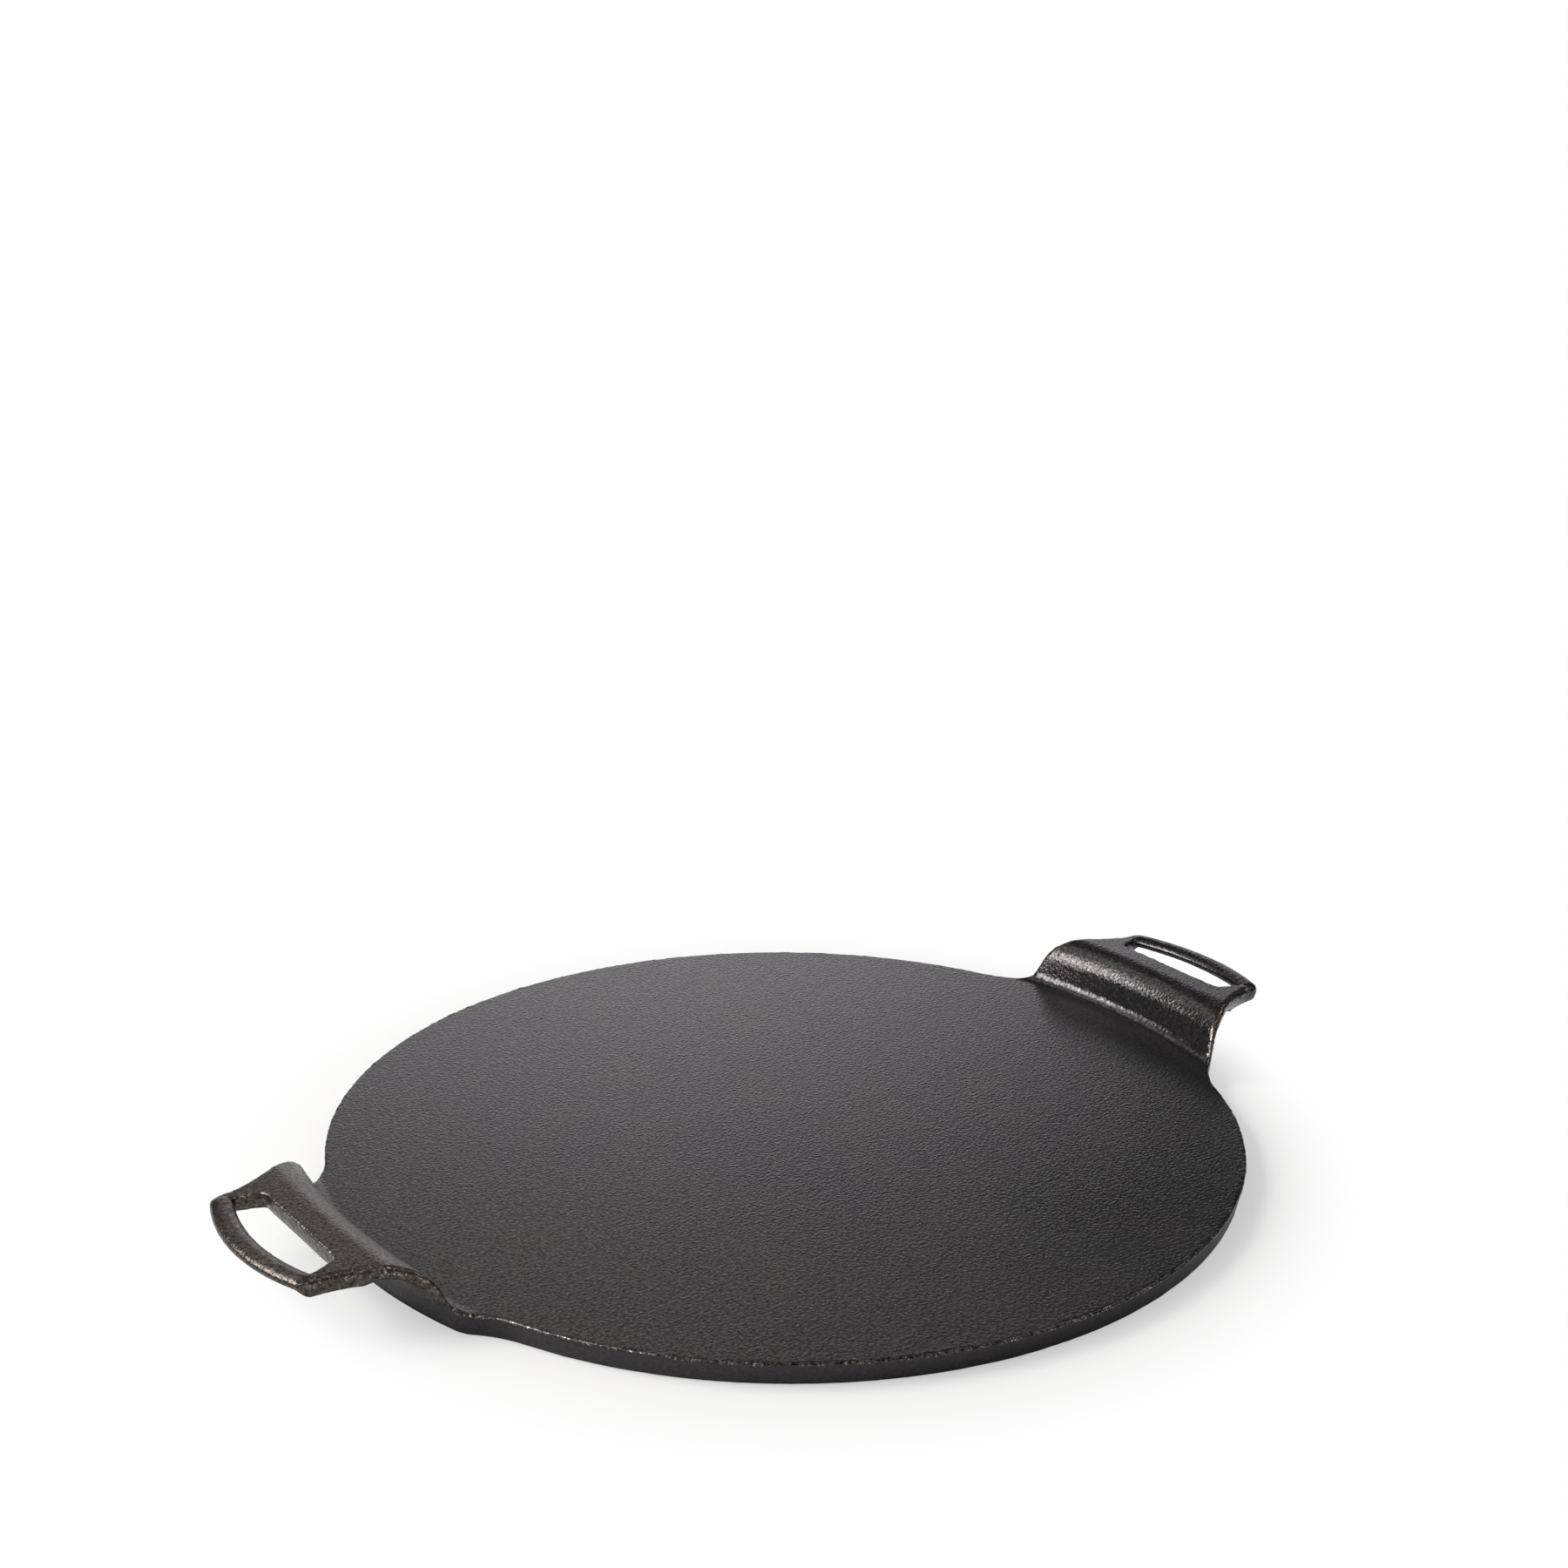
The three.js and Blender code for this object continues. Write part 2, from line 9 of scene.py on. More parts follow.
import bpy
from mathutils import Matrix, Vector, noise
from mathutils.geometry import delaunay_2d_cdt


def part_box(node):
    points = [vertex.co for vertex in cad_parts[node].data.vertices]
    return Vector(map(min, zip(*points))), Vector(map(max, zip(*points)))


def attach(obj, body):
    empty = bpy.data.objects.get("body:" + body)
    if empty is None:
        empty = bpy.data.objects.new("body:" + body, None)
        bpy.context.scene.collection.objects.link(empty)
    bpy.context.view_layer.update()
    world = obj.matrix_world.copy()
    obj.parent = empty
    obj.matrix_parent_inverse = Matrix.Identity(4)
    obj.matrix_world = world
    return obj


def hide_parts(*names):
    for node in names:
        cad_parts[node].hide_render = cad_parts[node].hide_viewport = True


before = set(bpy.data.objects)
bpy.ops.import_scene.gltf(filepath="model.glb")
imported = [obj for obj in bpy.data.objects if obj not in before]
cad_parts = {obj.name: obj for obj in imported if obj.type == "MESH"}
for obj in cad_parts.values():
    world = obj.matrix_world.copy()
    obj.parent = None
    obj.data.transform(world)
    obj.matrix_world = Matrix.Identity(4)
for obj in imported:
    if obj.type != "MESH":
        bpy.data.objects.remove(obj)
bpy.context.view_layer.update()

log = logging.getLogger("pan")
WEAR = "wear"

# A row of points on the casting, each with how ragged it is there, from 0 to 1.
Row = list[tuple[Vector, float]]


class Node(Enum):
    """The regions of the casting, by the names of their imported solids."""

    PLATE = "baking_plate"
    FOOT = "foot_ring"
    RIGHT_NECK = "right_handle_neck"
    RIGHT_GRIP = "right_handle_grip"
    LEFT_NECK = "left_handle_neck"
    LEFT_GRIP = "left_handle_grip"


class Facing(Enum):
    """Which way a flat filled face looks."""

    UP = 1.0
    DOWN = -1.0


def lerp(start: float, end: float, share: float) -> float:
    """Returns the value at a share of the way from start to end."""
    return start + (end - start) * share


def smooth(share: float) -> float:
    """Returns a share eased at both ends and kept from 0 to 1."""
    held = min(max(share, 0.0), 1.0)
    return held * held * (3 - 2 * held)


def aim(azimuth: float, elevation: float) -> Vector:
    """Returns the direction at an azimuth from +X and an elevation, both in degrees."""
    turn, rise = math.radians(azimuth), math.radians(elevation)
    return Vector((math.cos(turn) * math.cos(rise), math.sin(turn) * math.cos(rise), math.sin(rise)))


def shares(steps: int) -> list[float]:
    """Returns the ends and the inner marks of a unit length cut into equal steps."""
    return [step / steps for step in range(steps + 1)]


@dataclass(frozen=True)
class EdgePoint:
    """A point on the section of an edge.

    Args:
        depth: how far it lies below the upper surface.
        inset: how far it lies inside the edge's widest line.
        wear: how ragged the casting is there, from 0 to 1.
    """

    depth: float
    inset: float
    wear: float


@dataclass(frozen=True)
class EdgeSection:
    """The section of an edge: flat, rounded, a wall, rounded, flat.

    Args:
        top_radius: rounding above.
        bottom_radius: rounding below.
        support: run of flat surface kept at both ends, so that shading stays flat there.
        wall_shares: marks down the wall between the roundings.
        round_steps: facets of a rounding.
        top_wear: raggedness of the upper rounding.
        bottom_wear: raggedness of the lower rounding.
        wall_wear: raggedness of the wall.
    """

    top_radius: float
    bottom_radius: float
    support: float
    wall_shares: tuple[float, ...]
    round_steps: int = 4
    top_wear: float = 1.0
    bottom_wear: float = 0.4
    wall_wear: float = 0.15

    def points(self, height: float, wall: Callable[[float], float]) -> list[EdgePoint]:
        """Draws the section.

        Args:
            height: distance between the two surfaces.
            wall: the wall's inset at a depth.

        Returns:
            Its points, from the upper to the lower surface.
        """
        top, bottom = self.top_radius, self.bottom_radius
        wall_end = height - bottom
        made = [EdgePoint(0.0, wall(top) + top + self.support, 0.0)]
        for share in shares(self.round_steps):
            turn = share * math.pi / 2
            made.append(EdgePoint(
                top * (1 - math.cos(turn)), wall(top) + top * (1 - math.sin(turn)),
                self.top_wear if share else 0.0))
        for share in self.wall_shares:
            depth = lerp(top, wall_end, share)
            made.append(EdgePoint(depth, wall(depth), self.wall_wear))
        for share in reversed(shares(self.round_steps)):
            turn = share * math.pi / 2
            made.append(EdgePoint(
                height - bottom * (1 - math.cos(turn)), wall(wall_end) + bottom * (1 - math.sin(turn)),
                self.bottom_wear if share else 0.0))
        made.append(EdgePoint(height, wall(wall_end) + bottom + self.support, 0.0))
        return made


class CastSkin:
    """The casting's whole surface: shared points, and faces kept by region.

    Points that agree to a ten-thousandth of a millimetre are one point.
    """

    KEY_SCALE = 1e7
    FILL_TOLERANCE = 1e-7
    FILL_INSIDE_ONLY = 1

    def __init__(self) -> None:
        """Starts an empty surface."""
        self.points: list[Vector] = []
        self.wear: list[float] = []
        self.faces: dict[Node, list[tuple[int, ...]]] = {node: [] for node in Node}
        self.caps: dict[Node, list[tuple[int, ...]]] = {node: [] for node in Node}
        self._index: dict[tuple[int, int, int], int] = {}

    def add(self, point: Vector, wear: float) -> int:
        """Adds a point, unless a patch has it already.

        Args:
            point: its place.
            wear: how ragged the casting is there.

        Returns:
            Its index.
        """
        key = tuple(round(value * self.KEY_SCALE) for value in point)
        if key not in self._index:
            self._index[key] = len(self.points)
            self.points.append(point.copy())
            self.wear.append(wear)
        return self._index[key]

    def _face(self, kept: list[tuple[int, ...]], corners: Sequence[int], flip: bool) -> None:
        """Keeps a face, unless its corners fall together.

        Args:
            kept: the list that takes it.
            corners: the indices of its corners.
            flip: whether its winding changes.
        """
        ring = [c for i, c in enumerate(corners) if c != corners[i - 1]]
        if len(ring) > 2:
            kept.append(tuple(reversed(ring)) if flip else tuple(ring))

    def grid(self, node: Node, rows: Sequence[Row], closed: bool, place: "Place") -> None:
        """Adds the quads between rows of points.

        Args:
            node: the region that the faces belong to.
            rows: rows of equally many points.
            closed: whether each row is a ring.
            place: how the patch is turned or mirrored into the pan.
        """
        indexed = [[self.add(place.put(point), wear) for point, wear in row] for row in rows]
        for near, far in zip(indexed, indexed[1:]):
            last = len(near) if closed else len(near) - 1
            for i in range(last):
                j = (i + 1) % len(near)
                self._face(self.faces[node], (near[i], near[j], far[j], far[i]), place.mirrored)

    def fill(self, kept: list[tuple[int, ...]], loops: Sequence[Sequence[Vector]], facing: Facing,
             spacing: float = 0.0) -> None:
        """Fills a level region with triangles.

        Args:
            kept: the list that takes the faces.
            loops: the outline, then the holes.
            facing: which way the faces look.
            spacing: distance between inner points, or 0 for none.
        """
        level = loops[0][0].z
        flat = [point.to_2d() for loop in loops for point in loop]
        edges = []
        start = 0
        for loop in loops:
            count = len(loop)
            edges += [(start + i, start + (i + 1) % count) for i in range(count)]
            start += count
        if spacing:
            flat += self._inner_points(loops[0], spacing)
        made, _, triangles, origins, _, _ = delaunay_2d_cdt(
            flat, edges, [], self.FILL_INSIDE_ONLY, self.FILL_TOLERANCE)
        index = []
        for i, point in enumerate(made):
            source = flat[origins[i][0]] if origins[i] else point
            index.append(self.add(Vector((source.x, source.y, level)), 0.0))
        hole_start = len(loops[0])
        hole_end = sum(len(loop) for loop in loops)
        for triangle in triangles:
            # A triangle whose corners all lie on the holes' edges covers a hole.
            if all(hole_start <= origins[i][0] < hole_end for i in triangle):
                continue
            a, b, c = (made[i] for i in triangle)
            counter_clockwise = (b - a).cross(c - a) > 0
            flip = counter_clockwise != (facing is Facing.UP)
            self._face(kept, [index[i] for i in triangle], flip)

    @staticmethod
    def _inner_points(outline: Sequence[Vector], spacing: float) -> list[Vector]:
        """Lays out a triangular lattice.

        Args:
            outline: the outline that it fills.
            spacing: distance between its points.

        Returns:
            The points that lie at least that far inside the outline's largest circle.
        """
        reach = min(point.to_2d().length for point in outline) - spacing
        rise = spacing * math.sqrt(3) / 2
        rows = int(reach / rise)
        made = []
        for row in range(-rows, rows + 1):
            shift = spacing / 2 if row % 2 else 0.0
            columns = int(reach / spacing)
            for column in range(-columns, columns + 1):
                point = Vector((column * spacing + shift, row * rise))
                if point.length < reach:
                    made.append(point)
        return made

    def cap(self, node: Node, ring: Iterable[Vector], direction: Vector, place: "Place") -> None:
        """Adds one flat face where a region seats on its neighbour.

        Args:
            node: the region that the face closes.
            ring: its corners in order.
            direction: which way it looks, before it is placed.
            place: how the patch is turned or mirrored into the pan.
        """
        corners = [place.put(point) for point in ring]
        area = Vector((0.0, 0.0, 0.0))
        for a, b in zip(corners, corners[1:] + corners[:1]):
            area += a.cross(b)
        outward = place.put(direction)
        self._face(self.caps[node], [self.add(point, 0.0) for point in corners], area.dot(outward) < 0)

    def roughen(self, surface: "CastSurface") -> None:
        """Moves every point along its normal, but none below the table.

        Args:
            surface: the unevenness of the cast skin.
        """
        for i, normal in enumerate(self.normals()):
            self.points[i] += normal * surface.offset(self.points[i], self.wear[i])
            self.points[i].z = max(self.points[i].z, 0.0)

    def normals(self) -> list[Vector]:
        """Works out how the surface is shaded.

        Returns:
            The smooth normal of every point, across all the regions.
        """
        whole = bpy.data.meshes.new("whole_casting")
        whole.from_pydata(self.points, [], [face for faces in self.faces.values() for face in faces])
        made = [normal.vector.copy() for normal in whole.vertex_normals]
        bpy.data.meshes.remove(whole)
        return made

    def piece(self, node: Node, normals: Sequence[Vector]) -> bpy.types.Object:
        """Makes a region into an object.

        Args:
            node: the region.
            normals: the smooth normals of all the points.

        Returns:
            The object, which is closed and whose shading runs on across its seams.
        """
        skin, caps = self.faces[node], self.caps[node]
        used = sorted({corner for face in [*skin, *caps] for corner in face})
        local = {corner: i for i, corner in enumerate(used)}
        mesh = bpy.data.meshes.new(node.value)
        faces = [[local[corner] for corner in face] for face in [*skin, *caps]]
        mesh.from_pydata([self.points[i] for i in used], [], faces)
        mesh.polygons.foreach_set("use_smooth", [True] * len(mesh.polygons))
        worn = mesh.attributes.new(WEAR, "FLOAT", "POINT")
        worn.data.foreach_set("value", [self.wear[i] for i in used])
        split = []
        for polygon in mesh.polygons:
            on_skin = polygon.index < len(skin)
            split += [normals[used[v]] if on_skin else polygon.normal.copy() for v in polygon.vertices]
        mesh.normals_split_custom_set(split)
        piece = bpy.data.objects.new(f"{node.value}_casting", mesh)
        bpy.context.scene.collection.objects.link(piece)
        return piece


@dataclass(frozen=True)
class Place:
    """Where a patch made at +X +Y goes.

    Args:
        turned: half a turn about the pan's centre, for the left handle.
        mirrored: across the pan's long axis, which changes the winding of its faces.
    """

    turned: bool = False
    mirrored: bool = False

    def put(self, point: Vector) -> Vector:
        """Returns the point in its place."""
        y = -point.y if self.mirrored else point.y
        return Vector((-point.x, -y, point.z)) if self.turned else Vector((point.x, y, point.z))


@dataclass(frozen=True)
class CastSurface:
    """How uneven the sand left the iron. Lengths are in metres.

    Args:
        swell: height of the slow unevenness all over the handles and walls.
        swell_length: its wavelength.
        swell_wear: raggedness from which on it has its whole height.
        ragged: height of the ragged edges.
        ragged_length: their wavelength.
        lump_ratio: how much longer the lumps under them are.
        lump_share: how high those are, as a share of the ragged edges' height.
    """

    swell: float = 0.00011
    swell_length: float = 0.013
    swell_wear: float = 0.25
    ragged: float = 0.00022
    ragged_length: float = 0.0021
    lump_ratio: float = 2.7
    lump_share: float = 0.8

    def offset(self, point: Vector, wear: float) -> float:
        """Works out how uneven the casting is at a point.

        Args:
            point: its drawn place.
            wear: its raggedness, from 0 to 1.

        Returns:
            How far it stands proud of that place.
        """
        if wear == 0.0:
            return 0.0
        slow = noise.noise(point / self.swell_length)
        lumps = noise.noise(point / (self.ragged_length * self.lump_ratio)) * self.lump_share
        quick = noise.noise(point / self.ragged_length) + lumps
        return min(wear / self.swell_wear, 1.0) * self.swell * slow + wear * self.ragged * quick


@dataclass(frozen=True)
class PanPlan:
    """The casting's plan and heights, in metres and degrees, for the quarter at +X +Y.

    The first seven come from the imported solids. The others repeat the casting's drawing, but for a ramp that
    starts nearer to the rim with a fuller fillet, and a grip that is down to its own thickness sooner.

    Args:
        rim_radius: radius of the baking surface.
        baking_height: its height above the table.
        web_height: height of the web's underside.
        crest_height: height of the handles' crests.
        neck_seat_x: where the neck seats on the plate.
        grip_seat_x: where the grip seats on the arms.
        grip_outer_x: outermost point of the grip.
        rim_draft: lean of the rim's wall.
        neck_half_width: half the neck's width at the crest.
        neck_taper: how far its sides turn inwards.
        valley_radius: blend of the neck's sides into the rim.
        flare_radius: blend of its sides into the grip's corners.
        flare_start: distance from the rim to where that blend starts.
        ramp_start: distance from the rim to where the upper skin starts to rise.
        ramp_slope: its steepness.
        ramp_foot_radius: the fillet at its foot.
        ramp_crest_radius: the rounding at its crest.
        heel_start: distance from the rim to where the lower skin leaves the table.
        heel_slope: its steepness.
        heel_radius: the rounding at its foot.
        under_crest_radius: the fillet under the crest.
        crest_thickness: thickness at the crest.
        foot_line_ease: how much larger than the rim's radius that of the ramp's foot line is.
        handle_fall: how far the handle's top falls outwards.
        handle_thickness: thickness of the frame around the slot.
        handle_side_draft: how much narrower the sides are above and below than halfway down.
        slot_start: distance from the rim to the slot's straight edge.
        slot_half_width: half the length of that edge.
        slot_splay: how far the slot's ends spread outwards.
        slot_corner_radius: its corners on the neck.
        slot_tip_radius: its corners on the grip.
        slot_draft: how much wider the slot is above and below than halfway down.
        grip_width: the bar's width in plan.
        grip_outer_bow: radius of its outer line.
        grip_inner_bow: radius of its inner line.
        grip_corner_radius: the grip's corners.
        grip_thickness: the bar's thickness.
        grip_crown: how far the bar stands above the handle's top.
        grip_blend: length over which the arm's section turns into the bar's.
        frame_top_gap: distance from the slot's edge to where the frame starts, above.
        frame_under_gap: the same below.
    """

    rim_radius: float
    baking_height: float
    web_height: float
    crest_height: float
    neck_seat_x: float
    grip_seat_x: float
    grip_outer_x: float
    rim_draft: float = 12.5
    neck_half_width: float = 0.048
    neck_taper: float = 27.5
    valley_radius: float = 0.048
    flare_radius: float = 0.068
    flare_start: float = 0.0225
    ramp_start: float = 0.0002
    ramp_slope: float = 72.0
    ramp_foot_radius: float = 0.0055
    ramp_crest_radius: float = 0.0135
    heel_start: float = 0.0015
    heel_slope: float = 74.7
    heel_radius: float = 0.007
    under_crest_radius: float = 0.0104
    crest_thickness: float = 0.0051
    foot_line_ease: float = 0.0245
    handle_fall: float = 2.75
    handle_thickness: float = 0.007
    handle_side_draft: float = 0.0006
    slot_start: float = 0.03
    slot_half_width: float = 0.0302
    slot_splay: float = 21.8
    slot_corner_radius: float = 0.003
    slot_tip_radius: float = 0.0012
    slot_draft: float = 0.0003
    grip_width: float = 0.0097
    grip_outer_bow: float = 0.101
    grip_inner_bow: float = 0.105
    grip_corner_radius: float = 0.005
    grip_thickness: float = 0.0052
    grip_crown: float = 0.0005
    grip_blend: float = 0.006
    frame_top_gap: float = 0.0022
    frame_under_gap: float = 0.004

    @classmethod
    def from_frame(cls) -> "PanPlan":
        """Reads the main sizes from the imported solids.

        Returns:
            The plan.
        """
        plate_low, plate_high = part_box(Node.PLATE.value)
        _, neck_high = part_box(Node.RIGHT_NECK.value)
        grip_low, grip_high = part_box(Node.RIGHT_GRIP.value)
        return cls(
            rim_radius=plate_high.y, baking_height=plate_high.z, web_height=plate_low.z,
            crest_height=neck_high.z, neck_seat_x=plate_high.x, grip_seat_x=grip_low.x,
            grip_outer_x=grip_high.x)

    @property
    def side_direction(self) -> Vector:
        """The neck's straight side, pointing outwards."""
        taper = math.radians(self.neck_taper)
        return Vector((math.cos(taper), -math.sin(taper)))

    @property
    def side_normal(self) -> Vector:
        """The outward normal of the neck's straight side."""
        along = self.side_direction
        return Vector((-along.y, along.x))

    @property
    def ramp_x(self) -> float:
        """Where the upper skin starts to rise."""
        return self.rim_radius + self.ramp_start

    @property
    def heel_x(self) -> float:
        """Where the lower skin leaves the table."""
        return self.rim_radius + self.heel_start

    @property
    def slot_x(self) -> float:
        """The hand slot's straight edge."""
        return self.rim_radius + self.slot_start

    @property
    def crest_x(self) -> float:
        """The crest of the upper skin."""
        return self.upper_ramp(1)[-1].x

    def upper_ramp(self, fineness: int) -> list[Vector]:
        """Returns the upper skin's rise on the centre line, as points of x and height."""
        return self._ramp(self.ramp_x, self.baking_height, self.crest_height, self.ramp_slope,
                          self.ramp_foot_radius, self.ramp_crest_radius, fineness)

    def lower_ramp(self, fineness: int) -> list[Vector]:
        """Returns the lower skin's rise on the centre line, as points of x and height."""
        return self._ramp(self.heel_x, 0.0, self.crest_height - self.crest_thickness, self.heel_slope,
                          self.heel_radius, self.under_crest_radius, fineness)

    @staticmethod
    def _ramp(start: float, base: float, crest: float, degrees: float, foot: float, head: float,
              fineness: int) -> list[Vector]:
        """Draws a foot fillet, a straight slope and a crest fillet that ends level.

        Args:
            start: x where it starts to rise.
            base: the height there.
            crest: the height at its end.
            degrees: how steep the slope is.
            foot: the foot fillet's radius.
            head: the crest fillet's radius.
            fineness: how finely it is divided.

        Returns:
            Points of x and height.
        """
        slope = math.radians(degrees)
        drop = 1 - math.cos(slope)
        straight = (crest - base - (foot + head) * drop) / math.sin(slope)
        crest_x = start + (foot + head) * math.sin(slope) + straight * math.cos(slope)
        made = []
        for share in shares(2 * fineness):
            turn = slope * share
            made.append(Vector((start + foot * math.sin(turn), base + foot * (1 - math.cos(turn)))))
        foot_end = made[-1]
        head_start = Vector((crest_x - head * math.sin(slope), crest - head * drop))
        made += [foot_end.lerp(head_start, share) for share in shares(2 * fineness)[1:-1]]
        for share in shares(4 * fineness):
            turn = slope * (1 - share)
            made.append(Vector((crest_x - head * math.sin(turn), crest - head * (1 - math.cos(turn)))))
        return made

    def top_at(self, x: float) -> float:
        """Returns the height of the handle's top beyond the crest."""
        return self.crest_height - max(x - self.crest_x, 0.0) * math.tan(math.radians(self.handle_fall))

    def slot_width_at(self, x: float) -> float:
        """Returns the slot's half width on its splayed end."""
        return self.slot_half_width + (x - self.slot_x) * math.tan(math.radians(self.slot_splay))


class PlanLines:
    """The pan's outline in plan, worked out once from its drawing."""

    BOW_PASSES = 10

    def __init__(self, plan: PanPlan) -> None:
        """Works out the centres of the arcs that the neck's sides are made of.

        Args:
            plan: the casting's sizes.
        """
        self.plan = plan
        self._along = plan.side_direction
        self._normal = plan.side_normal
        self._crest_x = plan.crest_x
        flare_x = plan.rim_radius + plan.flare_start
        side = Vector((self._crest_x, plan.neck_half_width))
        offset = side + self._normal * plan.valley_radius
        along = offset.dot(self._along)
        reach = plan.rim_radius + plan.valley_radius
        back = along - math.sqrt(along * along - offset.length_squared + reach * reach)
        self.valley = offset - self._along * back
        self.flare = Vector((flare_x, self._side_at(flare_x))) + self._normal * plan.flare_radius
        self.valley_angle = math.atan2(self.valley.y, self.valley.x)

    def _side_at(self, x: float) -> float:
        """Returns the straight side's half width at x."""
        return self.plan.neck_half_width + (x - self._crest_x) * self._along.y / self._along.x

    def half_width(self, x: float, inset: float = 0.0) -> float:
        """Follows the handle's side: the valley's arc, the straight side, then the flare's arc.

        Args:
            x: the place along the handle.
            inset: how far inside the widest line.

        Returns:
            Half the handle's width there.
        """
        if x < self.valley.x - (self.plan.valley_radius + inset) * self._normal.x:
            return self._arc(self.valley, self.plan.valley_radius + inset, x)
        if x < self.flare.x - (self.plan.flare_radius + inset) * self._normal.x:
            return self._side_at(x) - inset / self._normal.y
        return self._arc(self.flare, self.plan.flare_radius + inset, x)

    @staticmethod
    def _arc(centre: Vector, radius: float, x: float) -> float:
        """Returns the lower half of a circle at x."""
        return centre.y - math.sqrt(radius ** 2 - (x - centre.x) ** 2)

    def rim_half(self, inset: float, valley_steps: int, rim_steps: int) -> list[Vector]:
        """Draws the outline's +Y side from the +X chord, over the valley and the rim, to the -X chord.

        Args:
            inset: how far inside the widest line.
            valley_steps: marks on each valley.
            rim_steps: marks on the rim.

        Returns:
            Its points.
        """
        radius = self.plan.rim_radius - inset
        tangent_x = radius * math.cos(self.valley_angle)
        xs = [lerp(self.plan.neck_seat_x, tangent_x, share) for share in shares(valley_steps)[:-1]]
        valley = [Vector((x, self.half_width(x, inset))) for x in xs]
        rim = []
        for share in shares(rim_steps):
            angle = lerp(self.valley_angle, math.pi - self.valley_angle, share)
            rim.append(Vector((radius * math.cos(angle), radius * math.sin(angle))))
        return [*valley, *rim, *(Vector((-p.x, p.y)) for p in reversed(valley))]

    def bow_at(self, x: float, foot_x: float, fade_x: float, end_x: float, radius: float) -> float:
        """Works out how strongly a line across the neck bows around the plate.

        Args:
            x: where the line crosses the centre line.
            foot_x: where the bow is whole.
            fade_x: where it starts to fade.
            end_x: where it is gone.
            radius: the whole bow's radius.

        Returns:
            The bow as a curvature.
        """
        rising = (x - self.plan.neck_seat_x) / (foot_x - self.plan.neck_seat_x)
        falling = (end_x - x) / (end_x - fade_x)
        return min(max(min(rising, falling), 0.0), 1.0) / radius

    def across(self, x: float, bow: float, share: float, inset: float) -> Vector:
        """Finds a point on a bowed line across the neck.

        Args:
            x: where the line crosses the centre line.
            bow: its curvature.
            share: the point's place as a share of the half width, from -1 to 1.
            inset: how far inside the widest line that width is.

        Returns:
            The point.
        """
        side = self.half_width(x, inset)
        for _ in range(self.BOW_PASSES):
            side = self.half_width(x - bow / 2 * side * side, inset)
        y = side * share
        return Vector((x - bow / 2 * y * y, y))


def flat_point(point: Vector, height: float) -> Vector:
    """Returns a plan point at a height."""
    return Vector((point.x, point.y, height))


def around(centre: Vector, radius: float, angle: float) -> Vector:
    """Returns the point of a circle in plan at an angle."""
    return centre + radius * Vector((math.cos(angle), math.sin(angle)))


def across_pan(point: Vector) -> Vector:
    """Returns the point mirrored across the pan's long axis."""
    return Vector((point.x, -point.y, point.z))


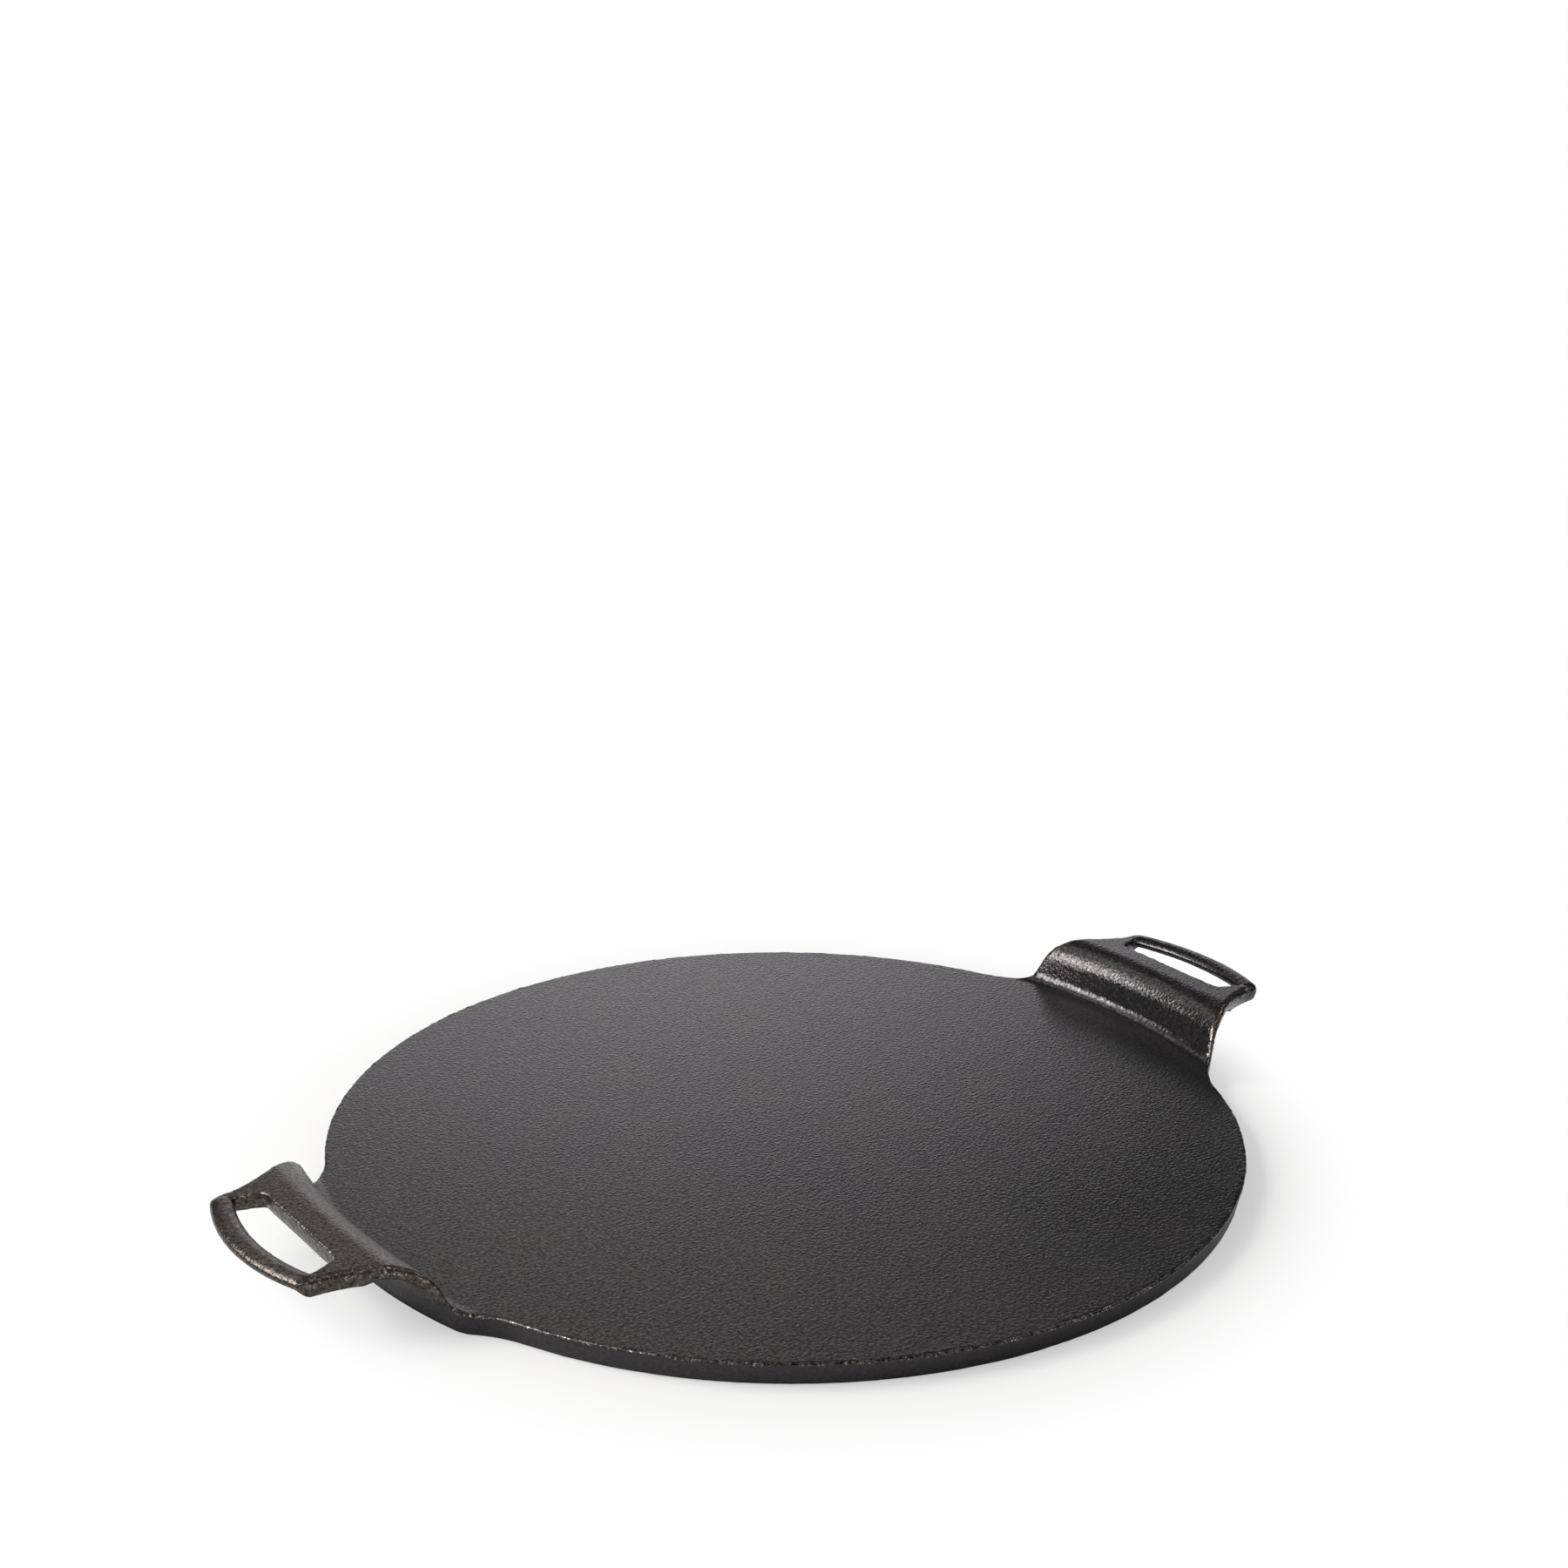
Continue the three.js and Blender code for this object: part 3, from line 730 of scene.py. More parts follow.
@dataclass
class Plate:
    """The baking plate: its flat top, the upper part of the drafted rim, and the web's underside.

    Args:
        lines: the pan's outline.
        edge: the rim's section.
        web_mark: which of the wall's marks lies at the foot ring's seat.
        valley_steps: facets of each valley.
        rim_steps: facets of each half of the rim.
        lattice: spacing of the points on the flat faces.
    """

    lines: PlanLines
    edge: EdgeSection = EdgeSection(
        top_radius=0.0009, bottom_radius=0.0016, support=0.0011, wall_shares=(0.18, 0.36, 0.54, 0.7, 0.86),
        bottom_wear=0.25, wall_wear=0.12)
    web_mark: int = 2
    valley_steps: int = 12
    rim_steps: int = 400
    lattice: float = 0.016

    def section(self) -> list[EdgePoint]:
        """Draws the rim's section.

        Returns:
            Its points, from the baking surface to the table.
        """
        plan = self.lines.plan
        draft = math.tan(math.radians(plan.rim_draft))
        radius = self.edge.top_radius

        def wall(depth: float) -> float:
            """Returns the drafted wall's inset at a depth."""
            return max(depth - radius, 0.0) * draft

        made = self.edge.points(plan.baking_height, wall)
        web = self.web_index
        seat = plan.baking_height - plan.web_height
        made[web] = EdgePoint(seat, wall(seat), made[web].wear)
        return made

    @property
    def web_index(self) -> int:
        """The section's point that lies where the plate seats on the foot ring."""
        # The flat's end and the upper rounding's points come before the wall's marks.
        return 1 + len(shares(self.edge.round_steps)) + self.web_mark

    def row(self, point: EdgePoint) -> Row:
        """Draws the +Y half of the outline at one height.

        Args:
            point: the point of the section that it goes through.

        Returns:
            Its points.
        """
        height = self.lines.plan.baking_height - point.depth
        outline = self.lines.rim_half(point.inset, self.valley_steps, self.rim_steps)
        return [(flat_point(p, height), point.wear) for p in outline]

    def rows(self) -> list[Row]:
        """Returns the outline's rows from the baking surface to the table."""
        return [self.row(point) for point in self.section()]

    def chord(self, inset: float, height: float, columns: int) -> list[Vector]:
        """Marks the handle's seat on the plate, a straight line at +X.

        Args:
            inset: how far inside the widest line its ends are.
            height: its height.
            columns: how many parts it has.

        Returns:
            Its points from -Y to +Y, without its ends.
        """
        x = self.lines.plan.neck_seat_x
        half = self.lines.half_width(x, inset)
        return [Vector((x, lerp(-half, half, share), height)) for share in shares(columns)[1:-1]]

    def loop(self, row: Row, chord: Sequence[Vector]) -> list[Vector]:
        """Returns a whole closed outline from its +Y half and the +X chord."""
        half = [*chord, *(point for point, _ in row)]
        return [*half, *(Vector((-p.x, -p.y, p.z)) for p in half)]

    def build(self, skin: CastSkin, columns: int, recess: Sequence[Vector]) -> None:
        """Adds the plate's faces.

        Args:
            skin: the casting.
            columns: marks across the seat.
            recess: the circle where the foot ring's inner wall meets the web.
        """
        plan = self.lines.plan
        rows = self.rows()
        web = self.web_index
        section = self.section()
        for turned in (False, True):
            skin.grid(Node.PLATE, list(reversed(rows[:web + 1])), False, Place(turned=turned))
        top_chord = self.chord(section[0].inset, plan.baking_height, columns)
        skin.fill(skin.faces[Node.PLATE], [self.loop(rows[0], top_chord)], Facing.UP, self.lattice)
        skin.fill(skin.faces[Node.PLATE], [recess], Facing.DOWN, self.lattice)
        skin.fill(skin.caps[Node.PLATE], [self.loop(rows[web], []), recess], Facing.DOWN)
        side = [row[0][0] for row in rows[:web + 1]]
        ring = [*top_chord, *side, *(across_pan(point) for point in reversed(side))]
        for turned in (False, True):
            skin.cap(Node.PLATE, ring, aim(0.0, 0.0), Place(turned=turned))


@dataclass
class FootRing:
    """The band that the pan stands on, with the wall of the recess inside it.

    Args:
        plate: the plate that it carries.
        width: the band's width, from the lower rim edge inwards.
        inner_draft: degrees that the recess wall leans.
        inner_edge_radius: rounding of the band's inner edge.
        root_radius: blend of the recess wall into the web.
        steps: facets of the recess.
        edge_steps: facets of the inner edge's rounding.
        wall_steps: facets of the wall.
        root_steps: facets of the blend.
        edge_wear: raggedness of the inner edge.
        wall_wear: raggedness of the wall.
    """

    plate: Plate
    width: float = 0.013
    inner_draft: float = 25.0
    inner_edge_radius: float = 0.0012
    root_radius: float = 0.0022
    steps: int = 288
    edge_steps: int = 4
    wall_steps: int = 3
    root_steps: int = 5
    edge_wear: float = 0.3
    wall_wear: float = 0.15

    def inner_radius(self) -> float:
        """Measures the flat band.

        Returns:
            The radius of its inner edge.
        """
        section = self.plate.section()
        foot = section[-1].inset - self.plate.edge.support
        return self.plate.lines.plan.rim_radius - foot - self.width

    def wall(self) -> list[tuple[float, float, float]]:
        """Draws the recess wall's section.

        Returns:
            Its points as radius, height and wear, from the flat band up to the web.
        """
        top = self.plate.lines.plan.web_height
        lean = math.radians(self.inner_draft)
        start = self.inner_radius()
        made = [(start + self.inner_edge_radius + self.plate.edge.support, 0.0, 0.0)]
        turn_end = math.pi / 2 - lean
        edge, root = self.inner_edge_radius, self.root_radius
        for share in shares(self.edge_steps):
            turn = turn_end * share
            made.append((start + edge - edge * math.sin(turn), edge * (1 - math.cos(turn)),
                         self.edge_wear if share else 0.0))
        wall_radius, wall_height, _ = made[-1]
        rise = top - wall_height - root * (1 - math.cos(turn_end))
        for share in shares(self.wall_steps)[1:]:
            made.append((wall_radius - rise * share * math.tan(lean), wall_height + rise * share,
                         self.wall_wear))
        foot_radius, foot_height, _ = made[-1]
        for share in shares(self.root_steps)[1:]:
            turn = turn_end * (1 - share)
            made.append((
                foot_radius - root * (math.sin(turn_end) - math.sin(turn)),
                foot_height + root * (math.cos(turn) - math.cos(turn_end)), 0.0))
        made[-1] = (made[-1][0], top, 0.0)
        return made

    def circle(self, radius: float, height: float) -> list[Vector]:
        """Returns a closed circle about the pan's axis."""
        turns = [2 * math.pi * share for share in shares(self.steps)[:-1]]
        return [Vector((radius * math.cos(t), radius * math.sin(t), height)) for t in turns]

    def recess(self) -> list[Vector]:
        """Returns the circle where the wall meets the web."""
        radius, height, _ = self.wall()[-1]
        return self.circle(radius, height)

    def build(self, skin: CastSkin, columns: int) -> None:
        """Adds the ring's faces.

        Args:
            skin: the casting.
            columns: marks across the seat.
        """
        rows = self.plate.rows()
        web = self.plate.web_index
        section = self.plate.section()
        for turned in (False, True):
            skin.grid(Node.FOOT, list(reversed(rows[web:])), False, Place(turned=turned))
        chord = self.plate.chord(section[-1].inset, 0.0, columns)
        wall = [[(p, wear) for p in self.circle(radius, height)] for radius, height, wear in self.wall()]
        skin.grid(Node.FOOT, list(reversed(wall)), True, Place(mirrored=True))
        band = [point for point, _ in wall[0]]
        skin.fill(skin.faces[Node.FOOT], [self.plate.loop(rows[-1], chord), band], Facing.DOWN)
        skin.fill(skin.caps[Node.FOOT], [self.plate.loop(rows[web], []), self.recess()], Facing.UP)
        side = [row[0][0] for row in rows[web:]]
        ring = [*side, *reversed(chord), *(across_pan(point) for point in reversed(side))]
        for turned in (False, True):
            skin.cap(Node.FOOT, ring, aim(0.0, 0.0), Place(turned=turned))


@dataclass
class Handle:
    """A raised loop handle: the neck that ramps up from the rim, and the grip that closes its slot.

    Args:
        plate: the plate that it grows from.
        edge: the section of the handle's outer side.
        slot_edge: the section of the slot's wall.
        parting: how far the mould's parting line stands proud.
        parting_share: half its width, as a share of the wall's half height.
        body_wear: raggedness of the handle's flat faces.
        bar_wear: raggedness of the grip's bar.
        columns: marks across the neck, an even number.
        fineness: facets of the ramp.
        arm_steps: facets along each arm beside the slot.
        land_steps: facets across the land between slot and side.
        end_steps: facets from the grip's seat to the corner.
        corner_steps: facets of the corner.
        bar_steps: facets along half the grip's bow.
        bar_power: how square the bar's section is, where 2 is an ellipse.
        bar_shoulder: degrees above and below the bar's middle where its sides end.
    """

    plate: Plate
    edge: EdgeSection = EdgeSection(
        top_radius=0.0027, bottom_radius=0.0018, support=0.0007, wall_shares=(0.22, 0.44, 0.5, 0.56, 0.78),
        top_wear=0.95, bottom_wear=0.5, wall_wear=0.3)
    slot_edge: EdgeSection = EdgeSection(
        top_radius=0.0008, bottom_radius=0.002, support=0.0006, wall_shares=(0.2, 0.5, 0.66, 0.76, 0.88),
        top_wear=1.0, bottom_wear=0.6, wall_wear=0.4)
    parting: float = 0.00018
    parting_share: float = 0.02
    body_wear: float = 0.2
    bar_wear: float = 0.3
    columns: int = 56
    fineness: int = 4
    arm_steps: int = 12
    land_steps: int = 8
    end_steps: int = 4
    corner_steps: int = 12
    bar_steps: int = 44
    bar_power: float = 2.1
    bar_shoulder: float = 52.0

    @property
    def lines(self) -> PlanLines:
        """The pan's outline."""
        return self.plate.lines

    @property
    def plan(self) -> PanPlan:
        """The pan's sizes."""
        return self.plate.lines.plan

    def side_section(self, height: float) -> list[EdgePoint]:
        """Draws the outer side's section, which is widest at the parting line, halfway down.

        Args:
            height: its height.

        Returns:
            Its points, from the top down.
        """
        draft = self.plan.handle_side_draft

        def wall(depth: float) -> float:
            """Returns the wall's inset at a depth, less where the parting line stands proud."""
            away = abs(2 * depth / height - 1)
            return draft * away - (self.parting if away < self.parting_share else 0.0)

        return self.edge.points(height, wall)

    def slot_section(self) -> list[EdgePoint]:
        """Returns the slot wall's section: narrowest at the parting line, halfway down."""
        height, draft = self.plan.handle_thickness, self.plan.slot_draft
        return self.slot_edge.points(height, lambda depth: draft * abs(2 * depth / height - 1))

    def stations(self) -> list[tuple[Vector, Vector, float]]:
        """Divides the neck into sections along the centre line.

        Returns:
            Each section's upper point, its lower point and the share of the handle's edge in its sides.
        """
        plan = self.plan
        upper, lower = plan.upper_ramp(self.fineness), plan.lower_ramp(self.fineness)
        flat = shares(self.fineness)[:-1]
        seat = plan.neck_seat_x
        made = [(Vector((lerp(seat, upper[0].x, s), plan.baking_height)),
                 Vector((lerp(seat, lower[0].x, s), 0.0)), 0.0) for s in flat]
        morph_end = 2 * self.fineness
        made += [(up, low, smooth(i / morph_end)) for i, (up, low) in enumerate(zip(upper, lower))]
        top_end, under_end = self.frame_start()
        for share in shares(2 * self.fineness)[1:]:
            top_x, under_x = lerp(upper[-1].x, top_end, share), lerp(lower[-1].x, under_end, share)
            thickness = lerp(plan.crest_thickness, plan.handle_thickness, smooth(share))
            top = Vector((top_x, plan.top_at(top_x)))
            made.append((top, Vector((under_x, plan.top_at(under_x) - thickness)), 1.0))
        return made

    def frame_start(self) -> tuple[float, float]:
        """Returns where the frame around the slot starts, above and below."""
        return self.plan.slot_x - self.plan.frame_top_gap, self.plan.slot_x - self.plan.frame_under_gap

    def neck_rows(self) -> list[Row]:
        """Draws the neck.

        Returns:
            Closed rings across it, from the plate's seat to the frame.
        """
        plan, lines = self.plan, self.lines
        top_end, under_end = self.frame_start()
        heel_end = plan.heel_x + plan.heel_radius * math.sin(math.radians(plan.heel_slope))
        line_radius = plan.rim_radius + plan.foot_line_ease
        rim = self.plate.section()
        rings = []
        for top, bottom, share in self.stations():
            height = (top - bottom).length
            side = self.side_section(height)
            upper_bow = lines.bow_at(top.x, plan.ramp_x, plan.ramp_x, top_end, line_radius)
            lower_bow = lines.bow_at(bottom.x, plan.heel_x, heel_end, under_end, plan.heel_x)
            edge = [(lerp(r.depth / plan.baking_height, s.depth / height, share),
                     lerp(r.inset, s.inset, share), max(r.wear, s.wear * share)) for r, s in zip(rim, side)]

            def put(down: float, across: float, inset: float) -> Vector:
                """Returns the point at a share of the way down and a share of the half width across."""
                x, bow = lerp(top.x, bottom.x, down), lerp(upper_bow, lower_bow, down)
                return flat_point(lines.across(x, bow, across, inset), lerp(top.y, bottom.y, down))

            inner = shares(self.columns)[1:-1]
            body = self.body_wear * share
            ring = [(put(0.0, 1 - 2 * s, edge[0][1]), body) for s in inner]
            ring += [(put(down, -1.0, inset), max(wear, body)) for down, inset, wear in edge]
            ring += [(put(1.0, 2 * s - 1, edge[-1][1]), body) for s in inner]
            ring += [(put(down, 1.0, inset), max(wear, body)) for down, inset, wear in reversed(edge)]
            rings.append(ring)
        return rings

    def slot_contour(self, relief: float) -> list[Vector]:
        """Draws the slot's +Y half, with one point for each of the frame's sections.

        Args:
            relief: how far it falls back into the iron.

        Returns:
            Its points, from the middle of the straight edge to the grip's seat.
        """
        plan = self.plan
        splay = math.radians(plan.slot_splay)
        corner_x = plan.slot_x + plan.slot_corner_radius
        centre = Vector((corner_x, plan.slot_width_at(corner_x) - plan.slot_corner_radius / math.cos(splay)))
        radius = plan.slot_corner_radius + relief
        end_angle = math.pi / 2 + splay
        middle = (math.pi + end_angle) / 2
        arc = radius * (math.pi - middle)
        half = self.columns // 2
        made = []
        for share in shares(half):
            run = share * (centre.y + arc)
            if run <= centre.y:
                made.append(Vector((centre.x - radius, run)))
            else:
                made.append(around(centre, radius, math.pi - (run - centre.y) / radius))
        arc_end = around(centre, radius, end_angle)
        seat = Vector((plan.grip_seat_x, plan.slot_width_at(plan.grip_seat_x) + relief / math.cos(splay)))
        line = (seat - arc_end).length
        for share in shares(self.arm_steps)[1:]:
            run = share * (arc + line)
            if run <= arc:
                made.append(around(centre, radius, middle - run / radius))
            else:
                made.append(arc_end.lerp(seat, (run - arc) / line))
        return made

    def arm_side(self, share: float) -> Row:
        """Draws the arm's outer side at one place.

        Args:
            share: how far along it is, from the frame's start to the grip's seat.

        Returns:
            Its points, from the top down.
        """
        plan = self.plan
        top_start, under_start = self.frame_start()
        top_x, under_x = lerp(top_start, plan.grip_seat_x, share), lerp(under_start, plan.grip_seat_x, share)
        top = Vector((top_x, plan.top_at(top_x)))
        under = Vector((under_x, plan.top_at(under_x) - plan.handle_thickness))
        height = (top - under).length
        made = []
        for point in self.side_section(height):
            x, z = top.lerp(under, point.depth / height)
            place = Vector((x, self.lines.half_width(x, point.inset), z))
            made.append((place, max(point.wear, self.body_wear)))
        return made

    def frame_strips(self) -> tuple[list[Row], list[Row]]:
        """Draws the +Y half of the frame around the slot.

        Returns:
            Strips over the land, down the slot's wall and back under the land, and the arm's side sections.
        """
        plan = self.plan
        slot = self.slot_section()
        contours = [self.slot_contour(point.inset) for point in slot]
        last = self.neck_rows()[-1]
        half = self.columns // 2
        edge_count = len(self.side_section(plan.handle_thickness))
        top_row = [last[half - 1 - i] for i in range(half)] + [last[-1]]
        under_first = self.columns - 1 + edge_count
        under_row = [last[under_first + half - 1 + i] for i in range(half)]
        under_row.append(last[under_first + self.columns - 1])
        sides = [list(reversed(last[-edge_count:])), *(self.arm_side(s) for s in shares(self.arm_steps)[1:])]
        outer = [*zip(top_row, under_row), *((side[0], side[-1]) for side in sides[1:])]
        inner = shares(self.land_steps)[1:-1]
        body = self.body_wear
        strips = []
        for i, (top, under) in enumerate(outer):
            wall = [(flat_point(c[i], plan.top_at(c[i].x) - p.depth), max(p.wear, body))
                    for p, c in zip(slot, contours)]
            strip = [top, *((top[0].lerp(wall[0][0], s), body) for s in inner), *wall]
            strip += [*((wall[-1][0].lerp(under[0], s), body) for s in inner), under]
            strips.append(strip)
        return strips, sides

    def bracket(self, start: Vector, degrees: float, corner: float, bow_x: float,
                bow_radius: float) -> list[Vector]:
        """Draws half of a line that leaves the seat, turns a rounded corner and follows a bow.

        Args:
            start: its first point, on the seat.
            degrees: the way it sets out.
            corner: the corner's radius.
            bow_x: where the bow crosses the centre line.
            bow_radius: the bow's radius.

        Returns:
            Its points, from the seat to the centre line.
        """
        slope = math.radians(degrees)
        direction = Vector((math.cos(slope), math.sin(slope)))
        normal = Vector((-direction.y, direction.x))
        bow_centre = Vector((bow_x - bow_radius, 0.0))
        offset = start - normal * corner - bow_centre
        along = offset.dot(direction)
        reach = bow_radius - corner
        forward = -along + math.sqrt(along * along - offset.length_squared + reach * reach)
        centre = offset + direction * forward + bow_centre
        to_bow = centre - bow_centre
        bow_angle = math.atan2(to_bow.y, to_bow.x)
        start_angle = math.atan2(normal.y, normal.x)
        corner_start = centre + normal * corner
        made = [start.lerp(corner_start, share) for share in shares(self.end_steps)[:-1]]
        made += [around(centre, corner, lerp(start_angle, bow_angle, share))
                 for share in shares(self.corner_steps)]
        made += [around(bow_centre, bow_radius, bow_angle * (1 - share))
                 for share in shares(self.bar_steps)[1:]]
        return made

    def seat_ring(self) -> Row:
        """Returns the arm's closed section at the grip's seat: side up, land, slot wall down, underside."""
        strips, sides = self.frame_strips()
        return [*reversed(sides[-1]), *strips[-1][1:-1]]

    def grip_rows(self) -> list[Row]:
        """Draws half of the grip, whose section turns from the arm's into the bar's.

        Returns:
            Closed rings along it, from its seat to the centre line.
        """
        plan = self.plan
        seat_x = plan.grip_seat_x
        inner_x = plan.grip_outer_x - plan.grip_width
        flare = math.asin((inner_x - self.lines.flare.x) / plan.flare_radius)
        outer_start = Vector((seat_x, self.lines.half_width(seat_x)))
        inner_start = Vector((seat_x, plan.slot_width_at(seat_x)))
        outer = self.bracket(outer_start, math.degrees(flare), plan.grip_corner_radius,
                             plan.grip_outer_x, plan.grip_outer_bow)
        inner = self.bracket(inner_start, plan.slot_splay, plan.slot_tip_radius, inner_x, plan.grip_inner_bow)
        width = outer_start.y - inner_start.y
        seat = [(2 * (p.y - inner_start.y) / width - 1, plan.top_at(seat_x) - p.z, wear)
                for p, wear in self.seat_ring()]
        bar = self.bar_section(len(seat))
        rings = []
        for i, (out, into) in enumerate(zip(outer, inner)):
            past = (out - outer[self.end_steps]).length if i > self.end_steps else 0.0
            share = smooth(past / plan.grip_blend)
            middle, reach = (out + into) / 2, (out - into) / 2
            ring = []
            for (seat_across, seat_depth, wear), (bar_across, bar_depth) in zip(seat, bar):
                plan_point = middle + reach * lerp(seat_across, bar_across, share)
                height = plan.top_at(middle.x) - lerp(seat_depth, bar_depth, share)
                ring.append((flat_point(plan_point, height), lerp(wear, self.bar_wear, share)))
            rings.append(ring)
        return rings

    def bar_section(self, count: int) -> list[tuple[float, float]]:
        """Draws the bar's section, point by point with the seat's.

        Args:
            count: how many points the seat's section has.

        Returns:
            Places across the bar, from -1 to 1, and depths below the handle's top.
        """
        side = len(self.side_section(self.plan.handle_thickness))
        wall = len(self.slot_section())
        land = (count - side - wall) // 2
        shoulder = math.radians(self.bar_shoulder)
        turns = [lerp(-shoulder, shoulder, s) for s in shares(side - 1)]
        turns += [lerp(shoulder, math.pi - shoulder, s) for s in shares(land + 1)[1:-1]]
        turns += [lerp(math.pi - shoulder, math.pi + shoulder, s) for s in shares(wall - 1)]
        turns += [lerp(math.pi + shoulder, 2 * math.pi - shoulder, s) for s in shares(land + 1)[1:-1]]
        half = self.plan.grip_thickness / 2
        axis = half - self.plan.grip_crown
        return [(self._rounded(math.cos(turn)), axis - half * self._rounded(math.sin(turn)))
                for turn in turns]

    def _rounded(self, value: float) -> float:
        """Returns a circle's coordinate drawn out towards a square."""
        return math.copysign(abs(value) ** (2 / self.bar_power), value)

    def build(self, skin: CastSkin, neck: Node, grip: Node, turned: bool) -> None:
        """Adds a handle's faces.

        Args:
            skin: the casting.
            neck: the neck's region.
            grip: the grip's region.
            turned: whether this is the handle at -X.
        """
        rings = self.neck_rows()
        skin.grid(neck, rings, True, Place(turned=turned))
        strips, sides = self.frame_strips()
        bars = self.grip_rows()
        seat = [point for point, _ in self.seat_ring()]
        outward = aim(0.0, 0.0)
        for mirrored in (False, True):
            place = Place(turned=turned, mirrored=mirrored)
            skin.grid(neck, strips, False, place)
            skin.grid(neck, [list(reversed(side)) for side in sides], False, place)
            skin.cap(neck, seat, outward, place)
            skin.cap(grip, seat, -outward, place)
            skin.grid(grip, bars, True, place)
        skin.cap(neck, [point for point, _ in rings[0]], -outward, Place(turned=turned))


@dataclass
class Pan:
    """The whole casting, built as one surface and handed over in its regions.

    Args:
        plan: its sizes.
        surface: how uneven it is.
    """

    plan: PanPlan
    surface: CastSurface = CastSurface()

    def build(self) -> dict[Node, bpy.types.Object]:
        """Builds the casting.

        Returns:
            Its regions, as objects that ride the pan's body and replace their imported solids.
        """
        skin = CastSkin()
        plate = Plate(PlanLines(self.plan))
        handle = Handle(plate)
        foot = FootRing(plate)
        plate.build(skin, handle.columns, foot.recess())
        foot.build(skin, handle.columns)
        handle.build(skin, Node.RIGHT_NECK, Node.RIGHT_GRIP, turned=False)
        handle.build(skin, Node.LEFT_NECK, Node.LEFT_GRIP, turned=True)
        skin.roughen(self.surface)
        normals = skin.normals()
        pieces = {}
        for node in Node:
            piece = skin.piece(node, normals)
            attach(piece, "root")
            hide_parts(node.value)
            pieces[node] = piece
            log.info("%s: %d faces", piece.name, len(piece.data.polygons))
        return pieces


@dataclass(frozen=True)
class StudioCamera:
    """The photograph's view, fitted to the rim and both handles.

    Args:
        place: the lens, in metres.
        azimuth: degrees from +X to where the lens looks, in plan.
        pitch: degrees that it looks down.
        roll: degrees that it is turned about its view.
        focal_length: millimetres on the sensor.
        sensor: width of the square sensor, in millimetres.
        nearest: distance from which on things are seen, in metres.
        farthest: distance up to which they are.
    """

    place: tuple[float, float, float] = (-0.5496, -0.7591, 0.46365)
    azimuth: float = 54.205
    pitch: float = 18.028
    roll: float = 0.454
    focal_length: float = 56.4334
    sensor: float = 36.0
    nearest: float = 0.01
    farthest: float = 20.0

    def build(self) -> None:
        """Adds the camera and sets it as the scene's."""
        data = bpy.data.cameras.new("photo_camera")
        data.lens = self.focal_length
        data.sensor_width = self.sensor
        data.sensor_fit = "HORIZONTAL"
        data.clip_start = self.nearest
        data.clip_end = self.farthest
        camera = bpy.data.objects.new("photo_camera", data)
        roll = Matrix.Rotation(math.radians(self.roll), 3, "Z").to_quaternion()
        turn = aim(self.azimuth, -self.pitch).to_track_quat("-Z", "Y") @ roll
        camera.matrix_world = Matrix.Translation(self.place) @ turn.to_matrix().to_4x4()
        bpy.context.scene.collection.objects.link(camera)
        bpy.context.scene.camera = camera


class Value:
    """A shader socket, so that shader maths reads as Python expressions."""

    def __init__(self, tree: "ShaderTree", socket: bpy.types.NodeSocket) -> None:
        """Keeps the tree and the socket that carries the value."""
        self.tree = tree
        self.socket = socket

    def __add__(self, other: "Operand") -> "Value":
        """Returns the sum."""
        return self.tree.maths("ADD", self, other)

    def __sub__(self, other: "Operand") -> "Value":
        """Returns the value less the other."""
        return self.tree.maths("SUBTRACT", self, other)

    def __rsub__(self, other: "Operand") -> "Value":
        """Returns the other less the value."""
        return self.tree.maths("SUBTRACT", other, self)

    def __mul__(self, other: "Operand") -> "Value":
        """Returns the product."""
        return self.tree.maths("MULTIPLY", self, other)

    __radd__ = __add__
    __rmul__ = __mul__

    def at_least(self, other: "Operand") -> "Value":
        """Returns the larger of the two."""
        return self.tree.maths("MAXIMUM", self, other)

    def ramp(self, low: float, high: float) -> "Value":
        """Turns the value into a mask.

        Args:
            low: where the mask is 0.
            high: where it is 1, which may be below low.

        Returns:
            The mask, eased between the two and held beyond them.
        """
        if low > high:
            return 1.0 - self.ramp(high, low)
        return self.tree.value("ShaderNodeMapRange", "Result", {"interpolation_type": "SMOOTHSTEP"},
                               {"Value": self, "From Min": low, "From Max": high})


Operand = Value | float
Colour = tuple[float, float, float]
Span = tuple[float, float]
WHITE: Colour = (1.0, 1.0, 1.0)
WARM: Colour = (1.0, 0.985, 0.96)


@dataclass(frozen=True)
class Clouds:
    """A cloudy pattern.

    Args:
        size: the width of a cloud, in metres.
        detail: how many finer layers it has.
        roughness: how strong they are.
    """

    size: float
    detail: float = 2.0
    roughness: float = 0.5


